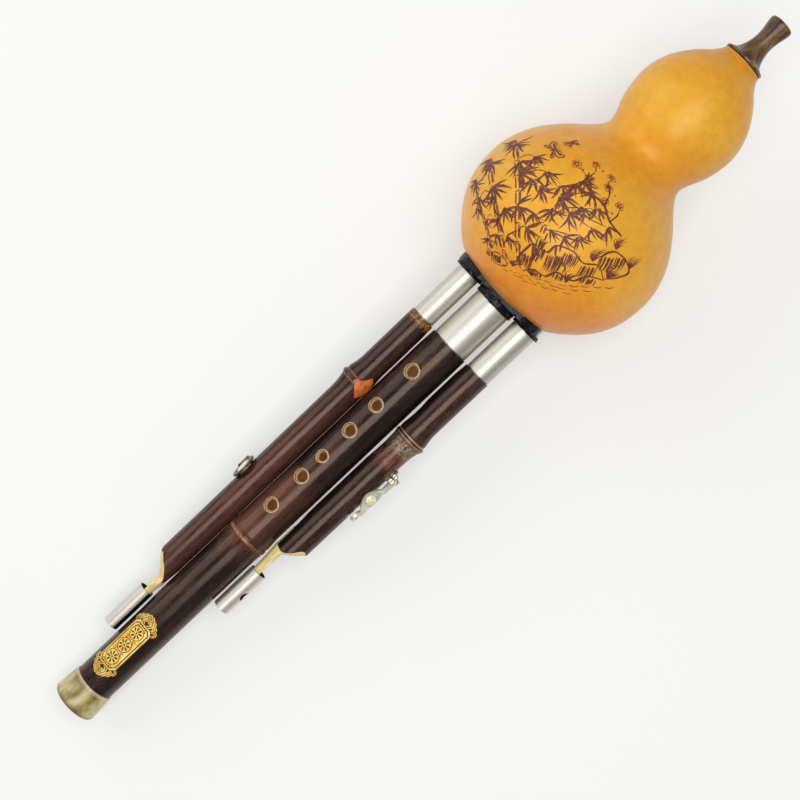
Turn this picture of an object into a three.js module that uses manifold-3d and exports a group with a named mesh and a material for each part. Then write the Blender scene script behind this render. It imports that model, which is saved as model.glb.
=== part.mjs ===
// A gourd flute with three pipes, lying on a table: the lower lobe of the gourd and the
// foot ring of the main pipe touch the table top. Millimetres, +Z up.
// The instrument is built along +X of its own frame: x is 0 at the foot and grows toward
// the mouthpiece, +Y is the left drone's side and -Y the right drone's side.
import * as THREE from 'three';
import { mergeVertices } from 'three/addons/utils/BufferGeometryUtils.js';
import Module from 'manifold-3d';

const wasm = await Module();
wasm.setup();

// Fits: the free space between two pieces that seat in or on each other.
const seatGap = 0.3;
const cutMargin = 2;

// Facet counts of the turned pieces.
const gourdSegments = 32;
const pipeSegments = 24;
const droneSegments = 20;
const smallSegments = 12;

// Gourd: outer profile from the domed end by the pipes to the stem end.
const gourdStart = 256;
const gourdLength = 140;
const lobeRadius = 45.8;
const gourdWall = 3.6;
const gourdOffset = 1.6;
const restFlatDepth = 0.5;
const stemBore = 5.4;
const profileShares = [
  [0, 0], [0.016, 0.306], [0.034, 0.535], [0.054, 0.633], [0.081, 0.725], [0.116, 0.823],
  [0.161, 0.913], [0.214, 0.976], [0.268, 1], [0.321, 1], [0.375, 0.965], [0.428, 0.895],
  [0.471, 0.808], [0.516, 0.688], [0.557, 0.559], [0.586, 0.483], [0.611, 0.456],
  [0.643, 0.483], [0.682, 0.535], [0.729, 0.568], [0.779, 0.581], [0.821, 0.563],
  [0.861, 0.52], [0.896, 0.459], [0.932, 0.376], [0.964, 0.279], [0.989, 0.225], [1, 0.214],
];
const hollowShares = [
  [0.054, 0], [0.075, 0.49], [0.116, 0.7], [0.161, 0.81], [0.214, 0.885], [0.295, 0.92],
  [0.375, 0.885], [0.428, 0.81], [0.471, 0.72], [0.516, 0.6], [0.557, 0.475], [0.611, 0.37],
  [0.682, 0.45], [0.779, 0.5], [0.861, 0.43], [0.896, 0.36], [0.932, 0.27], [0.964, 0.16],
];
const mouthHalfWidth = 24.2;
const mouthHalfHeight = 14;

// Horn mouthpiece on the stem end.
const mouthpieceLength = 24;
const mouthpieceBaseRadius = 9.8;
const mouthpieceBore = 2.6;
const mouthpieceSpigotRadius = 5.1;
const mouthpieceSpigotLength = 8;
const mouthpieceShares = [
  [0, 1], [0.04, 1], [0.12, 0.69], [0.22, 0.58], [0.33, 0.5], [0.46, 0.445], [0.58, 0.45],
  [0.7, 0.5], [0.82, 0.575], [0.92, 0.6], [0.98, 0.55], [1, 0.46],
];

// Seal in the gourd's mouth and the collar round each socket.
const sealFront = 256.2;
const sealBack = 267;
const sealCornerFacets = 6;
const mainCollar = { start: 252.9, radius: 10 };
const leftCollar = { start: 254.6, radius: 7.7 };
const rightCollar = { start: 254.9, radius: 7.4 };

// Where the pipes end and the silver sockets begin.
const jointAt = 228;
const socketEnd = 270;
const tenonStart = 218.5;
const tenonEnd = 245;
const tubeWall = 0.6;
const reedTubeStart = 249;
const reedTubeShoulder = 271;
const reedBodyStart = 273;

// The three pipes: where they stand beside each other and how thick they are.
const leftOffset = 16.5;
const rightOffset = 17;
const mainPipe = {
  socketRadius: 8.95, radius: 9.45, nodeRadius: 10.1, bore: 7, nodeAt: 107.8,
  reedRadius: 6.4, reedBore: 5.2, reedEnd: 312, reedLength: 26, reedWidth: 5.4,
};
const leftPipe = {
  socketRadius: 5.4, radius: 5.95, nodeRadius: 6.7, bore: 3.9, nodeAt: 188.9,
  reedRadius: 4, reedBore: 2.9, reedEnd: 298, reedLength: 17, reedWidth: 3.6,
};
const rightPipe = {
  socketRadius: 6, radius: 6.42, nodeRadius: 7.15, bore: 4.4, nodeAt: 188,
  reedRadius: 4.5, reedBore: 3.4, reedEnd: 302, reedLength: 19, reedWidth: 3.9,
};
const nodeShares = [[-1, 0], [-0.35, 0.3], [-0.08, 0.9], [0.08, 1], [0.3, 0.55], [0.6, 0.2], [1, 0]];
const nodeReach = 9;

// Finger holes of the main pipe, from the gourd to the foot, and the thumb hole behind: place
// as a share of the pipe's length up to its socket, radius as a share of the pipe's radius.
const fingerHoleShares = [
  [0.9197, 0.296], [0.8281, 0.275], [0.7596, 0.286], [0.689, 0.238], [0.6346, 0.286], [0.5557, 0.286],
];
const thumbHoleShare = [0.9368, 0.275];
const holeLineTurn = THREE.MathUtils.degToRad(20);

// Foot ring on the spigot at the lower end of the main pipe.
const ringLength = 13.1;
const ringEndRadius = 10.87;
const ringJointRadius = 9.8;
const ringBore = 7;
const ringEdge = 0.5;
const spigotRadius = 8.4;
const spigotStart = 5.4;

// Scooped lower ends of the drones, and the tuning tubes on their tongues.
const tongueOffset = 13.9;
const tongueRadius = 2.75;
const tuningOuter = 3.65;
const tuningHoleRadius = 2.2;
const tongueInside = 9;
const leftEnd = { inner: 66, scoopLength: 10.5, tongueBare: 7, tubeLength: 22.5 };
const rightEnd = { inner: 115, scoopLength: 6.5, tongueBare: 14.6, tubeLength: 23.1 };
const tuningHoleShare = 0.48;
const leftHoleTurn = THREE.MathUtils.degToRad(-117);
const rightHoleTurn = THREE.MathUtils.degToRad(72);

// Right drone's key: a lever on a cross pin, with a leaf shaped touch and a pad.
const keyPivotAt = 170.6;
const keyTurn = THREE.MathUtils.degToRad(78);
const padReach = 22.2;
const touchReach = 12.6;
const touchHalfLength = 6.4;
const touchHalfWidth = 5;
const touchShift = 2.6;
const leverHeight = 8.5;
const leverThickness = 0.9;
const leverWidth = 3.6;
const padRadius = 2.3;
const padThickness = 0.8;
const seatDepth = 0.35;
const seatHalfLength = 3.1;
const toneHoleRadius = 1.5;
const pinRadius = 0.6;
const hubRadius = 1.3;
const postThickness = 0.9;
const postLength = 3.4;
const postTopRise = 1.4;
const saddleLength = 6;
const saddleRise = 0.7;
const springRadius = 1.2;
const springWidth = 1;
const pearlRadius = 2.1;
const pearlSeat = 0.4;
const pearlRise = 0.9;

// Left drone's cover: a round cap over a side hole, hinged below it along the pipe.
const coverAt = 127.9;
const coverTurn = THREE.MathUtils.degToRad(-78);
const coverRadius = 6.05;
const coverHeight = 6.65;
const coverThickness = 0.9;
const coverPadRadius = 3.1;
const coverPadThickness = 0.55;
const coverSeatDepth = 0.5;
const coverPearlRadius = 3.3;
const coverPearlRise = 0.5;
const coverHingeDrop = 7.4;
const coverHingeHeight = 7.1;
const coverKnuckleRadius = 1.3;
const coverKnuckleLength = 3.2;
const coverLugThickness = 1.2;
const coverLugReach = 4.6;

// Colours only tell the pieces apart here.
const colours = {
  gourd: 0xdfa03a, horn: 0x3a332c, ring: 0xb8a060, bamboo: 0x3a2824, silver: 0xd8d4cc,
  brass: 0xc79a4b, black: 0x15181c, pearl: 0xe9e4c8, felt: 0x8a5a3a, reedTube: 0xb98a50,
};

// Turns a closed geometry into a solid for cutting and joining.
function toSolid(geometry) {
  const bare = geometry.clone();
  bare.deleteAttribute('normal');
  bare.deleteAttribute('uv');
  const weldTolerance = 1e-4;
  const merged = mergeVertices(bare, weldTolerance);
  const corners = merged.index.array;
  const kept = [];
  for (let i = 0; i < corners.length; i += 3) {
    const [a, b, c] = [corners[i], corners[i + 1], corners[i + 2]];
    if (a !== b && b !== c && c !== a) {
      kept.push(a, b, c);
    }
  }
  return new wasm.Manifold(new wasm.Mesh({
    numProp: 3,
    vertProperties: new Float32Array(merged.attributes.position.array),
    triVerts: new Uint32Array(kept),
  }));
}

// Names a solid and gives it its own material.
function toMesh(solid, name, colour) {
  const data = solid.getMesh();
  const geometry = new THREE.BufferGeometry();
  geometry.setAttribute('position', new THREE.BufferAttribute(data.vertProperties.slice(), 3));
  geometry.setIndex(new THREE.BufferAttribute(data.triVerts.slice(), 1));
  const mesh = new THREE.Mesh(geometry, new THREE.MeshStandardMaterial({ color: colour }));
  mesh.name = name;
  return mesh;
}

// A turned solid from stations [x, radius]: outside toward the mouthpiece, then back inside.
function turned(stations, segments, turn = 0) {
  const points = stations.map(([x, radius]) => new THREE.Vector2(radius, x));
  const geometry = new THREE.LatheGeometry(points, segments, turn);
  geometry.rotateZ(-Math.PI / 2);
  return toSolid(geometry);
}

// A plain tube along X.
function tube(start, end, outer, inner, segments, turn = 0) {
  const stations = [[start, inner], [start, outer], [end, outer], [end, inner], [start, inner]];
  return turned(stations, segments, turn);
}

// A solid rod along X.
function rod(start, end, radius, segments, turn = 0) {
  return turned([[start, 0], [start, radius], [end, radius], [end, 0]], segments, turn);
}

// A rod whose length runs along Z, from one height to another.
function upright(x, y, low, high, radius, segments) {
  const geometry = new THREE.CylinderGeometry(radius, radius, high - low, segments);
  geometry.rotateX(Math.PI / 2);
  geometry.translate(x, y, (low + high) / 2);
  return toSolid(geometry);
}

// A box from its lower corner to its upper corner.
function block(low, high) {
  const size = high.map((value, i) => value - low[i]);
  const geometry = new THREE.BoxGeometry(...size);
  geometry.translate(...high.map((value, i) => (value + low[i]) / 2));
  return toSolid(geometry);
}

// A flat outline given in X and Y, with thickness from one height to another.
function plate(shape, low, high, facets) {
  const geometry = new THREE.ExtrudeGeometry(shape, {
    depth: high - low, bevelEnabled: false, curveSegments: facets,
  });
  geometry.translate(0, 0, low);
  return toSolid(geometry);
}

function ellipse(x, y, halfLength, halfWidth) {
  const shape = new THREE.Shape();
  shape.absellipse(x, y, halfLength, halfWidth, 0, Math.PI * 2, false, 0);
  return shape;
}

const gourdStations = (shares) => shares.map(
  ([along, out]) => [gourdStart + along * gourdLength, out * lobeRadius],
);

// The tilt at which the foot ring's edge and the flat under the lobe lie on one level.
function restingTilt() {
  const footDrop = ringEndRadius * Math.cos(Math.PI / pipeSegments);
  let low = 0;
  let high = Math.PI / 12;
  const halvings = 40;
  for (let i = 0; i < halvings; i += 1) {
    const tilt = (low + high) / 2;
    const heights = gourdStations(profileShares).map(
      ([x, radius]) => x * Math.sin(tilt) - radius * Math.cos(tilt),
    );
    const lobeLow = Math.min(...heights) + restFlatDepth;
    if (lobeLow < -footDrop * Math.cos(tilt) + ringEdge * Math.sin(tilt)) {
      low = tilt;
    } else {
      high = tilt;
    }
  }
  return (low + high) / 2;
}

// The space under the table top, in the instrument's own frame.
function underTable(tilt) {
  const footDrop = ringEndRadius * Math.cos(Math.PI / pipeSegments);
  const level = -footDrop * Math.cos(tilt) + ringEdge * Math.sin(tilt);
  const reach = gourdStart + gourdLength;
  const depth = lobeRadius;
  const geometry = new THREE.BoxGeometry(reach * 2, depth * 2, depth);
  geometry.translate(reach / 2, 0, level - depth / 2);
  geometry.rotateY(tilt);
  return toSolid(geometry);
}

// A flat rounded slot across Y, used for the gourd's mouth and the seal in it.
function slotAlongX(start, end, halfWidth, halfHeight) {
  const straight = halfWidth - halfHeight;
  const shape = new THREE.Shape();
  shape.moveTo(-straight, -halfHeight);
  shape.lineTo(straight, -halfHeight);
  shape.absarc(straight, 0, halfHeight, -Math.PI / 2, Math.PI / 2, false);
  shape.lineTo(-straight, halfHeight);
  shape.absarc(-straight, 0, halfHeight, Math.PI / 2, Math.PI * 1.5, false);
  const geometry = new THREE.ExtrudeGeometry(shape, {
    depth: end - start, bevelEnabled: false, curveSegments: sealCornerFacets,
  });
  geometry.rotateX(Math.PI / 2);
  geometry.rotateZ(Math.PI / 2);
  geometry.translate(start, gourdOffset / 2, 0);
  return toSolid(geometry);
}

function gourd(tilt) {
  const outside = turned(gourdStations(profileShares).concat([[gourdStart + gourdLength, 0]]), gourdSegments);
  const hollowEnd = gourdStations(hollowShares).at(-1)[0];
  const inside = turned(gourdStations(hollowShares).concat([[hollowEnd, 0]]), gourdSegments);
  const stem = rod(hollowEnd - gourdWall, gourdStart + gourdLength + cutMargin, stemBore, pipeSegments);
  const shell = outside.subtract(inside).subtract(stem).translate([0, gourdOffset, 0]);
  const mouth = slotAlongX(
    gourdStart - cutMargin, sealBack + gourdWall, mouthHalfWidth, mouthHalfHeight,
  );
  return toMesh(shell.subtract(mouth).subtract(underTable(tilt)), 'gourd', colours.gourd);
}

function mouthpiece() {
  const start = gourdStart + gourdLength + seatGap;
  const flare = mouthpieceShares.map(
    ([along, out]) => [start + along * mouthpieceLength, out * mouthpieceBaseRadius],
  );
  const spigotEnd = start - mouthpieceSpigotLength;
  const stations = [
    [spigotEnd, mouthpieceBore], [spigotEnd, mouthpieceSpigotRadius], [start, mouthpieceSpigotRadius],
    ...flare, [start + mouthpieceLength, mouthpieceBore], [spigotEnd, mouthpieceBore],
  ];
  return toMesh(
    turned(stations, pipeSegments).translate([0, gourdOffset, 0]), 'mouthpiece', colours.horn,
  );
}

// The seal fills the mouth and is bored for the three sockets.
function seal() {
  let body = slotAlongX(sealFront, sealBack, mouthHalfWidth - seatGap, mouthHalfHeight - seatGap);
  for (const [offset, pipe] of [[0, mainPipe], [leftOffset, leftPipe], [-rightOffset, rightPipe]]) {
    const bore = rod(
      sealFront - cutMargin, sealBack + cutMargin, pipe.socketRadius + seatGap, pipeSegments,
    );
    body = body.subtract(bore.translate([0, offset, 0]));
  }
  return toMesh(body, 'seal_plug', colours.black);
}

// A collar stands round its socket; the side ones are cut clear of the main one.
function collar(name, spec, pipe, offset) {
  const ring = tube(
    spec.start, sealFront - seatGap, spec.radius, pipe.socketRadius + seatGap, pipeSegments,
  );
  const beside = rod(
    spec.start - cutMargin, sealFront + cutMargin, mainCollar.radius + seatGap, pipeSegments,
  ).translate([0, -offset, 0]);
  return toMesh(offset === 0 ? ring : ring.subtract(beside), name, colours.black);
}

// The silver socket that a pipe's tenon slides in.
function socket(name, pipe) {
  const inner = pipe.socketRadius - tubeWall;
  const body = tube(jointAt + seatGap, socketEnd, pipe.socketRadius, inner, pipeSegments);
  return toMesh(body, name, colours.silver);
}

const tenonOuter = (pipe) => pipe.socketRadius - tubeWall - seatGap;

function tenon(name, pipe) {
  const outer = tenonOuter(pipe);
  const body = tube(tenonStart + seatGap, tenonEnd, outer, outer - tubeWall, pipeSegments);
  return toMesh(body, name, colours.silver);
}

// The tube inside the gourd that carries the reed: closed at its far end, with a flat on top
// and a window under the reed.
function reedTube(name, pipe) {
  const outer = tenonOuter(pipe);
  const body = turned([
    [reedTubeStart, pipe.reedBore], [reedTubeStart, outer], [reedTubeShoulder, outer],
    [reedBodyStart, pipe.reedRadius], [pipe.reedEnd, pipe.reedRadius], [pipe.reedEnd, 0],
    [pipe.reedEnd - gourdWall, 0], [pipe.reedEnd - gourdWall, pipe.reedBore],
    [reedTubeStart, pipe.reedBore],
  ], droneSegments);
  const flat = reedFlatHeight(pipe);
  const window = reedWindow(pipe);
  const shelf = block(
    [window.start - cutMargin, -pipe.reedRadius, flat],
    [pipe.reedEnd + cutMargin, pipe.reedRadius, pipe.reedRadius + cutMargin],
  );
  const opening = block(
    [window.start + cutMargin, -window.halfWidth, 0],
    [window.end - cutMargin, window.halfWidth, pipe.reedRadius + cutMargin],
  );
  return toMesh(body.subtract(shelf).subtract(opening), name, colours.reedTube);
}

const reedFlatShare = 0.86;
const reedFlatHeight = (pipe) => pipe.reedRadius * reedFlatShare;

function reedWindow(pipe) {
  const tongueShare = 0.32;
  const start = pipe.reedEnd - gourdWall - pipe.reedLength;
  return { start, end: start + pipe.reedLength, halfWidth: pipe.reedWidth * tongueShare };
}

// The brass reed: a thin plate in which a U shaped slit frees the tongue.
function reed(name, pipe) {
  const reedThickness = 0.4;
  const slit = 0.35;
  const window = reedWindow(pipe);
  const low = reedFlatHeight(pipe) + seatGap;
  const high = low + reedThickness;
  const halfPlate = pipe.reedWidth / 2;
  const body = block([window.start, -halfPlate, low], [window.end, halfPlate, high]);
  const slitStart = window.start + cutMargin * 2;
  const slitEnd = window.end - cutMargin;
  const halfSlit = window.halfWidth;
  const outer = block(
    [slitStart, -halfSlit, low - cutMargin], [slitEnd, halfSlit, high + cutMargin],
  );
  const inner = block(
    [slitStart - cutMargin, slit - halfSlit, low - cutMargin],
    [slitEnd - slit, halfSlit - slit, high + cutMargin],
  );
  return toMesh(body.subtract(outer.subtract(inner)), name, colours.brass);
}

// Outside of a length of bamboo with one raised node.
function bambooStations(start, end, pipe) {
  const rise = pipe.nodeRadius - pipe.radius;
  const node = nodeShares.map(
    ([along, out]) => [pipe.nodeAt + along * nodeReach, pipe.radius + out * rise],
  );
  return [[start, pipe.radius], ...node, [end, pipe.radius]];
}

// A finger hole: a radial cutter turned about the pipe's axis.
function radialCutter(at, radius, reach, turn) {
  const cutter = upright(0, 0, 0, reach, radius, smallSegments);
  return cutter.rotate([THREE.MathUtils.radToDeg(turn), 0, 0]).translate([at, 0, 0]);
}

// The main pipe is the piece that is played on: bored right through, with a counterbore for
// its tenon, a spigot for the foot ring, six finger holes in front and a thumb hole behind.
function mainBody() {
  const outside = bambooStations(ringLength + seatGap, jointAt, mainPipe);
  const counterbore = tenonOuter(mainPipe) + seatGap;
  let body = turned([
    [spigotStart, mainPipe.bore], [spigotStart, spigotRadius], [ringLength + seatGap, spigotRadius],
    ...outside, [jointAt, counterbore], [tenonStart, counterbore],
    [tenonStart, mainPipe.bore], [spigotStart, mainPipe.bore],
  ], pipeSegments, Math.PI / pipeSegments);
  const reach = mainPipe.nodeRadius + cutMargin;
  for (const [along, out] of fingerHoleShares) {
    body = body.subtract(
      radialCutter(along * jointAt, out * mainPipe.radius, reach, -holeLineTurn),
    );
  }
  const [thumbAlong, thumbOut] = thumbHoleShare;
  body = body.subtract(
    radialCutter(thumbAlong * jointAt, thumbOut * mainPipe.radius, reach, Math.PI),
  );
  return toMesh(body, 'main_pipe', colours.bamboo);
}

function footRing() {
  const body = turned([
    [0, ringBore], [0, ringEndRadius - ringEdge], [ringEdge, ringEndRadius],
    [ringLength, ringJointRadius], [ringLength, spigotRadius + seatGap],
    [spigotStart - seatGap, spigotRadius + seatGap], [spigotStart - seatGap, ringBore],
    [0, ringBore],
  ], pipeSegments, Math.PI / pipeSegments);
  return toMesh(body, 'foot_ring', colours.ring);
}

// A drone's bamboo: bored, counterbored for its tenon, cut slantwise at the lower end so
// that only a tongue on the main pipe's side goes on into the tuning tube.
function droneSolid(pipe, end, offset, side) {
  const counterbore = tenonOuter(pipe) + seatGap;
  const outside = bambooStations(end.inner, jointAt, pipe);
  const body = turned([
    [end.inner, pipe.bore], ...outside, [jointAt, counterbore],
    [tenonStart, counterbore], [tenonStart, pipe.bore], [end.inner, pipe.bore],
  ], droneSegments);
  const ledge = -side * (offset - tongueOffset - tongueRadius);
  const outer = end.inner + end.scoopLength;
  const slant = new THREE.Shape([
    new THREE.Vector2(end.inner - cutMargin, ledge),
    new THREE.Vector2(end.inner, ledge),
    new THREE.Vector2(outer, side * pipe.radius),
    new THREE.Vector2(outer, side * (pipe.radius + cutMargin)),
    new THREE.Vector2(end.inner - cutMargin, side * (pipe.radius + cutMargin)),
  ]);
  const scoop = plate(slant, -pipe.radius - cutMargin, pipe.radius + cutMargin, 1);
  const tubeEnd = end.inner - end.tongueBare;
  const tongue = rod(
    tubeEnd - tongueInside, end.inner + tongueRadius, tongueRadius, smallSegments,
  ).translate([0, -side * (offset - tongueOffset), 0]);
  return body.subtract(scoop).add(tongue);
}

function tuningTube(name, end, offset, side, turn) {
  const inner = tongueRadius + seatGap;
  const tubeEnd = end.inner - end.tongueBare;
  const tubeStart = tubeEnd - end.tubeLength;
  const holeAt = tubeStart + end.tubeLength * tuningHoleShare;
  const body = tube(tubeStart, tubeEnd, tuningOuter, inner, droneSegments);
  const hole = radialCutter(holeAt, tuningHoleRadius, tuningOuter + cutMargin, turn);
  const placed = body.subtract(hole).translate([0, -side * (offset - tongueOffset), 0]);
  return toMesh(placed, name, colours.silver);
}

// Seat cut flat into the drone under a pad, with the tone hole in its middle. Worked in the
// key's own frame, where +Z points straight out of the pipe.
function toneSeat(at, pipe, depth, halfLength) {
  const level = pipe.radius - depth;
  const seat = block(
    [at - halfLength, -pipe.radius, level],
    [at + halfLength, pipe.radius, pipe.radius + cutMargin],
  );
  const hole = upright(at, 0, 0, pipe.radius + cutMargin, toneHoleRadius, smallSegments);
  return seat.add(hole);
}

const degrees = (turn) => THREE.MathUtils.radToDeg(turn);
const crownShare = 0.6;
const touchCentre = () => [keyPivotAt - touchReach, touchShift];

// The lever: hub on the cross pin, narrow arm, leaf shaped touch and a round end over the pad.
function keyLever() {
  const low = leverHeight;
  const high = leverHeight + leverThickness;
  const middle = (low + high) / 2;
  const half = leverWidth / 2;
  const padAt = keyPivotAt - padReach;
  const arm = block([padAt, -half, low], [keyPivotAt, half, high]);
  const touch = plate(ellipse(...touchCentre(), touchHalfLength, touchHalfWidth), low, high, smallSegments);
  const padEnd = upright(padAt, 0, low, high, padRadius, smallSegments);
  const hubGeometry = new THREE.CylinderGeometry(hubRadius, hubRadius, leverWidth, smallSegments);
  hubGeometry.translate(keyPivotAt, 0, middle);
  const boreGeometry = new THREE.CylinderGeometry(
    pinRadius + seatGap, pinRadius + seatGap, leverWidth + cutMargin, smallSegments,
  );
  boreGeometry.translate(keyPivotAt, 0, middle);
  const recess = upright(...touchCentre(), high - pearlSeat, high + cutMargin, pearlRadius + seatGap, smallSegments);
  const body = arm.add(touch).add(padEnd).add(toSolid(hubGeometry))
    .subtract(toSolid(boreGeometry)).subtract(recess);
  return toMesh(body, 'right_key_lever', colours.silver);
}

function domedPearl(name, x, y, low, radius, rise) {
  const base = rise / 2;
  const geometry = new THREE.LatheGeometry([
    new THREE.Vector2(0, low), new THREE.Vector2(radius, low), new THREE.Vector2(radius, low + base),
    new THREE.Vector2(radius * crownShare, low + rise), new THREE.Vector2(0, low + rise),
  ], smallSegments);
  geometry.rotateX(Math.PI / 2);
  geometry.translate(x, y, 0);
  return toMesh(toSolid(geometry), name, colours.pearl);
}

function keyPad() {
  const high = leverHeight - seatGap;
  const body = upright(keyPivotAt - padReach, 0, high - padThickness, high, padRadius, smallSegments);
  return toMesh(body, 'right_key_pad', colours.felt);
}

// The saddle is bent round the pipe and carries a post on each side of the lever's hub.
function keySaddle() {
  const middle = leverHeight + leverThickness / 2;
  const postInner = leverWidth / 2 + springWidth + seatGap * 2;
  const postOuter = postInner + postThickness;
  const base = tube(
    keyPivotAt - saddleLength / 2, keyPivotAt + saddleLength / 2,
    rightPipe.radius + seatGap + saddleRise, rightPipe.radius + seatGap, droneSegments,
  ).intersect(block(
    [keyPivotAt - saddleLength, -postOuter, 0], [keyPivotAt + saddleLength, postOuter, middle],
  ));
  let body = base;
  const foot = rightPipe.radius * Math.cos(Math.asin(postOuter / (rightPipe.radius + seatGap)));
  for (const side of [-1, 1]) {
    const post = block(
      [keyPivotAt - postLength / 2, Math.min(side * postInner, side * postOuter), foot],
      [keyPivotAt + postLength / 2, Math.max(side * postInner, side * postOuter), middle + postTopRise],
    );
    body = body.add(post);
  }
  const clear = rod(
    keyPivotAt - saddleLength, keyPivotAt + saddleLength, rightPipe.radius + seatGap, droneSegments,
  );
  const boreGeometry = new THREE.CylinderGeometry(
    pinRadius + seatGap, pinRadius + seatGap, postOuter * 2 + cutMargin, smallSegments,
  );
  boreGeometry.translate(keyPivotAt, 0, middle);
  const roomRadius = hubRadius + seatGap;
  const hubRoom = new THREE.CylinderGeometry(roomRadius, roomRadius, postInner * 2, smallSegments);
  hubRoom.translate(keyPivotAt, 0, middle);
  const cut = toSolid(boreGeometry).add(toSolid(hubRoom));
  return toMesh(body.subtract(clear).subtract(cut), 'right_key_saddle', colours.silver);
}

function keyPin() {
  const middle = leverHeight + leverThickness / 2;
  const postOuter = leverWidth / 2 + springWidth + seatGap * 2 + postThickness;
  const headThickness = 0.6;
  const shank = new THREE.CylinderGeometry(pinRadius, pinRadius, postOuter * 2 + seatGap, smallSegments);
  shank.translate(keyPivotAt, 0, middle);
  const head = new THREE.CylinderGeometry(hubRadius, hubRadius, headThickness, smallSegments);
  head.translate(keyPivotAt, postOuter + seatGap + headThickness / 2 - seatGap / 2, middle);
  return toMesh(toSolid(shank).add(toSolid(head)), 'right_key_pin', colours.silver);
}

function keySpring() {
  const middle = leverHeight + leverThickness / 2;
  const start = leverWidth / 2 + seatGap;
  const outer = new THREE.CylinderGeometry(springRadius, springRadius, springWidth, smallSegments);
  outer.translate(keyPivotAt, start + springWidth / 2, middle);
  const innerRadius = pinRadius + seatGap;
  const inner = new THREE.CylinderGeometry(innerRadius, innerRadius, springWidth * 2, smallSegments);
  inner.translate(keyPivotAt, start + springWidth / 2, middle);
  return toMesh(toSolid(outer).subtract(toSolid(inner)), 'right_key_spring', colours.brass);
}

// The round cap on the left drone. In its frame +Z points straight out of the pipe's flank
// and -Y is nearly upward, so the hinge on the underside lies at +Y.
function coverCap() {
  const low = coverHeight;
  const high = coverHeight + coverThickness;
  const disc = upright(coverAt, 0, low, high, coverRadius, pipeSegments);
  const recess = upright(coverAt, 0, high - pearlSeat, high + cutMargin, coverPearlRadius + seatGap, smallSegments);
  const half = coverKnuckleLength / 2;
  const knuckle = rod(coverAt - half, coverAt + half, coverKnuckleRadius, smallSegments)
    .translate([0, coverHingeDrop, coverHingeHeight]);
  const web = block(
    [coverAt - half, 0, low], [coverAt + half, coverHingeDrop, high],
  );
  const bore = rod(coverAt - coverHingeDrop, coverAt + coverHingeDrop, pinRadius + seatGap, smallSegments)
    .translate([0, coverHingeDrop, coverHingeHeight]);
  return toMesh(disc.add(web).add(knuckle).subtract(bore).subtract(recess), 'left_cover_cap', colours.silver);
}

function coverPad() {
  const high = coverHeight - seatGap;
  const body = upright(coverAt, 0, high - coverPadThickness, high, coverPadRadius, smallSegments);
  return toMesh(body, 'left_cover_pad', colours.felt);
}

// The bracket hugs the underside of the drone and holds a lug at each end of the knuckle.
function coverBracket() {
  const inner = leftPipe.radius + seatGap;
  const lugStart = coverKnuckleLength / 2 + seatGap;
  const lugEnd = lugStart + coverLugThickness;
  const hug = tube(coverAt - lugEnd, coverAt + lugEnd, inner + saddleRise, inner, droneSegments)
    .intersect(block(
      [coverAt - lugEnd, coverLugReach, -inner - saddleRise],
      [coverAt + lugEnd, inner + saddleRise, coverLugReach],
    ));
  let body = hug;
  for (const side of [-1, 1]) {
    const near = Math.min(side * lugStart, side * lugEnd);
    const far = Math.max(side * lugStart, side * lugEnd);
    const lug = block(
      [coverAt + near, coverLugReach, 0],
      [coverAt + far, coverHingeDrop + coverKnuckleRadius, coverHingeHeight],
    );
    const eye = rod(coverAt + near, coverAt + far, coverKnuckleRadius, smallSegments)
      .translate([0, coverHingeDrop, coverHingeHeight]);
    body = body.add(lug).add(eye);
  }
  const clear = rod(coverAt - lugEnd * 2, coverAt + lugEnd * 2, inner, droneSegments);
  const bore = rod(coverAt - lugEnd * 2, coverAt + lugEnd * 2, pinRadius + seatGap, smallSegments)
    .translate([0, coverHingeDrop, coverHingeHeight]);
  const capRoom = upright(
    coverAt, 0, coverHeight - seatGap, coverHeight + coverThickness + cutMargin,
    coverRadius + seatGap, pipeSegments,
  );
  return toMesh(body.subtract(clear).subtract(bore).subtract(capRoom), 'left_cover_bracket', colours.silver);
}

function coverPin() {
  const reach = coverKnuckleLength / 2 + seatGap + coverLugThickness;
  const body = rod(coverAt - reach, coverAt + reach, pinRadius, smallSegments)
    .translate([0, coverHingeDrop, coverHingeHeight]);
  return toMesh(body, 'left_cover_pin', colours.silver);
}

// Puts meshes in a group that stands beside the main pipe.
function groupAt(name, y, children) {
  const group = new THREE.Group();
  group.name = name;
  group.position.set(0, y, 0);
  group.add(...children);
  return group;
}

function turnedGroup(name, turn, children) {
  const group = new THREE.Group();
  group.name = name;
  group.rotation.x = turn;
  group.add(...children);
  return group;
}

function leftDrone() {
  const seat = toneSeat(coverAt, leftPipe, coverSeatDepth, coverPadRadius + seatGap)
    .rotate([degrees(coverTurn), 0, 0]);
  const pipe = droneSolid(leftPipe, leftEnd, leftOffset, 1).subtract(seat);
  const cover = turnedGroup('left_cover', coverTurn, [
    coverCap(), coverPad(), coverBracket(), coverPin(),
    domedPearl(
      'left_cover_pearl', coverAt, 0, coverHeight + coverThickness - pearlSeat + seatGap / 2,
      coverPearlRadius, coverPearlRise,
    ),
  ]);
  return groupAt('left_drone', leftOffset, [
    toMesh(pipe, 'left_drone_pipe', colours.bamboo),
    tenon('left_tenon', leftPipe),
    tuningTube('left_tuning_tube', leftEnd, leftOffset, 1, leftHoleTurn),
    cover,
  ]);
}

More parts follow.
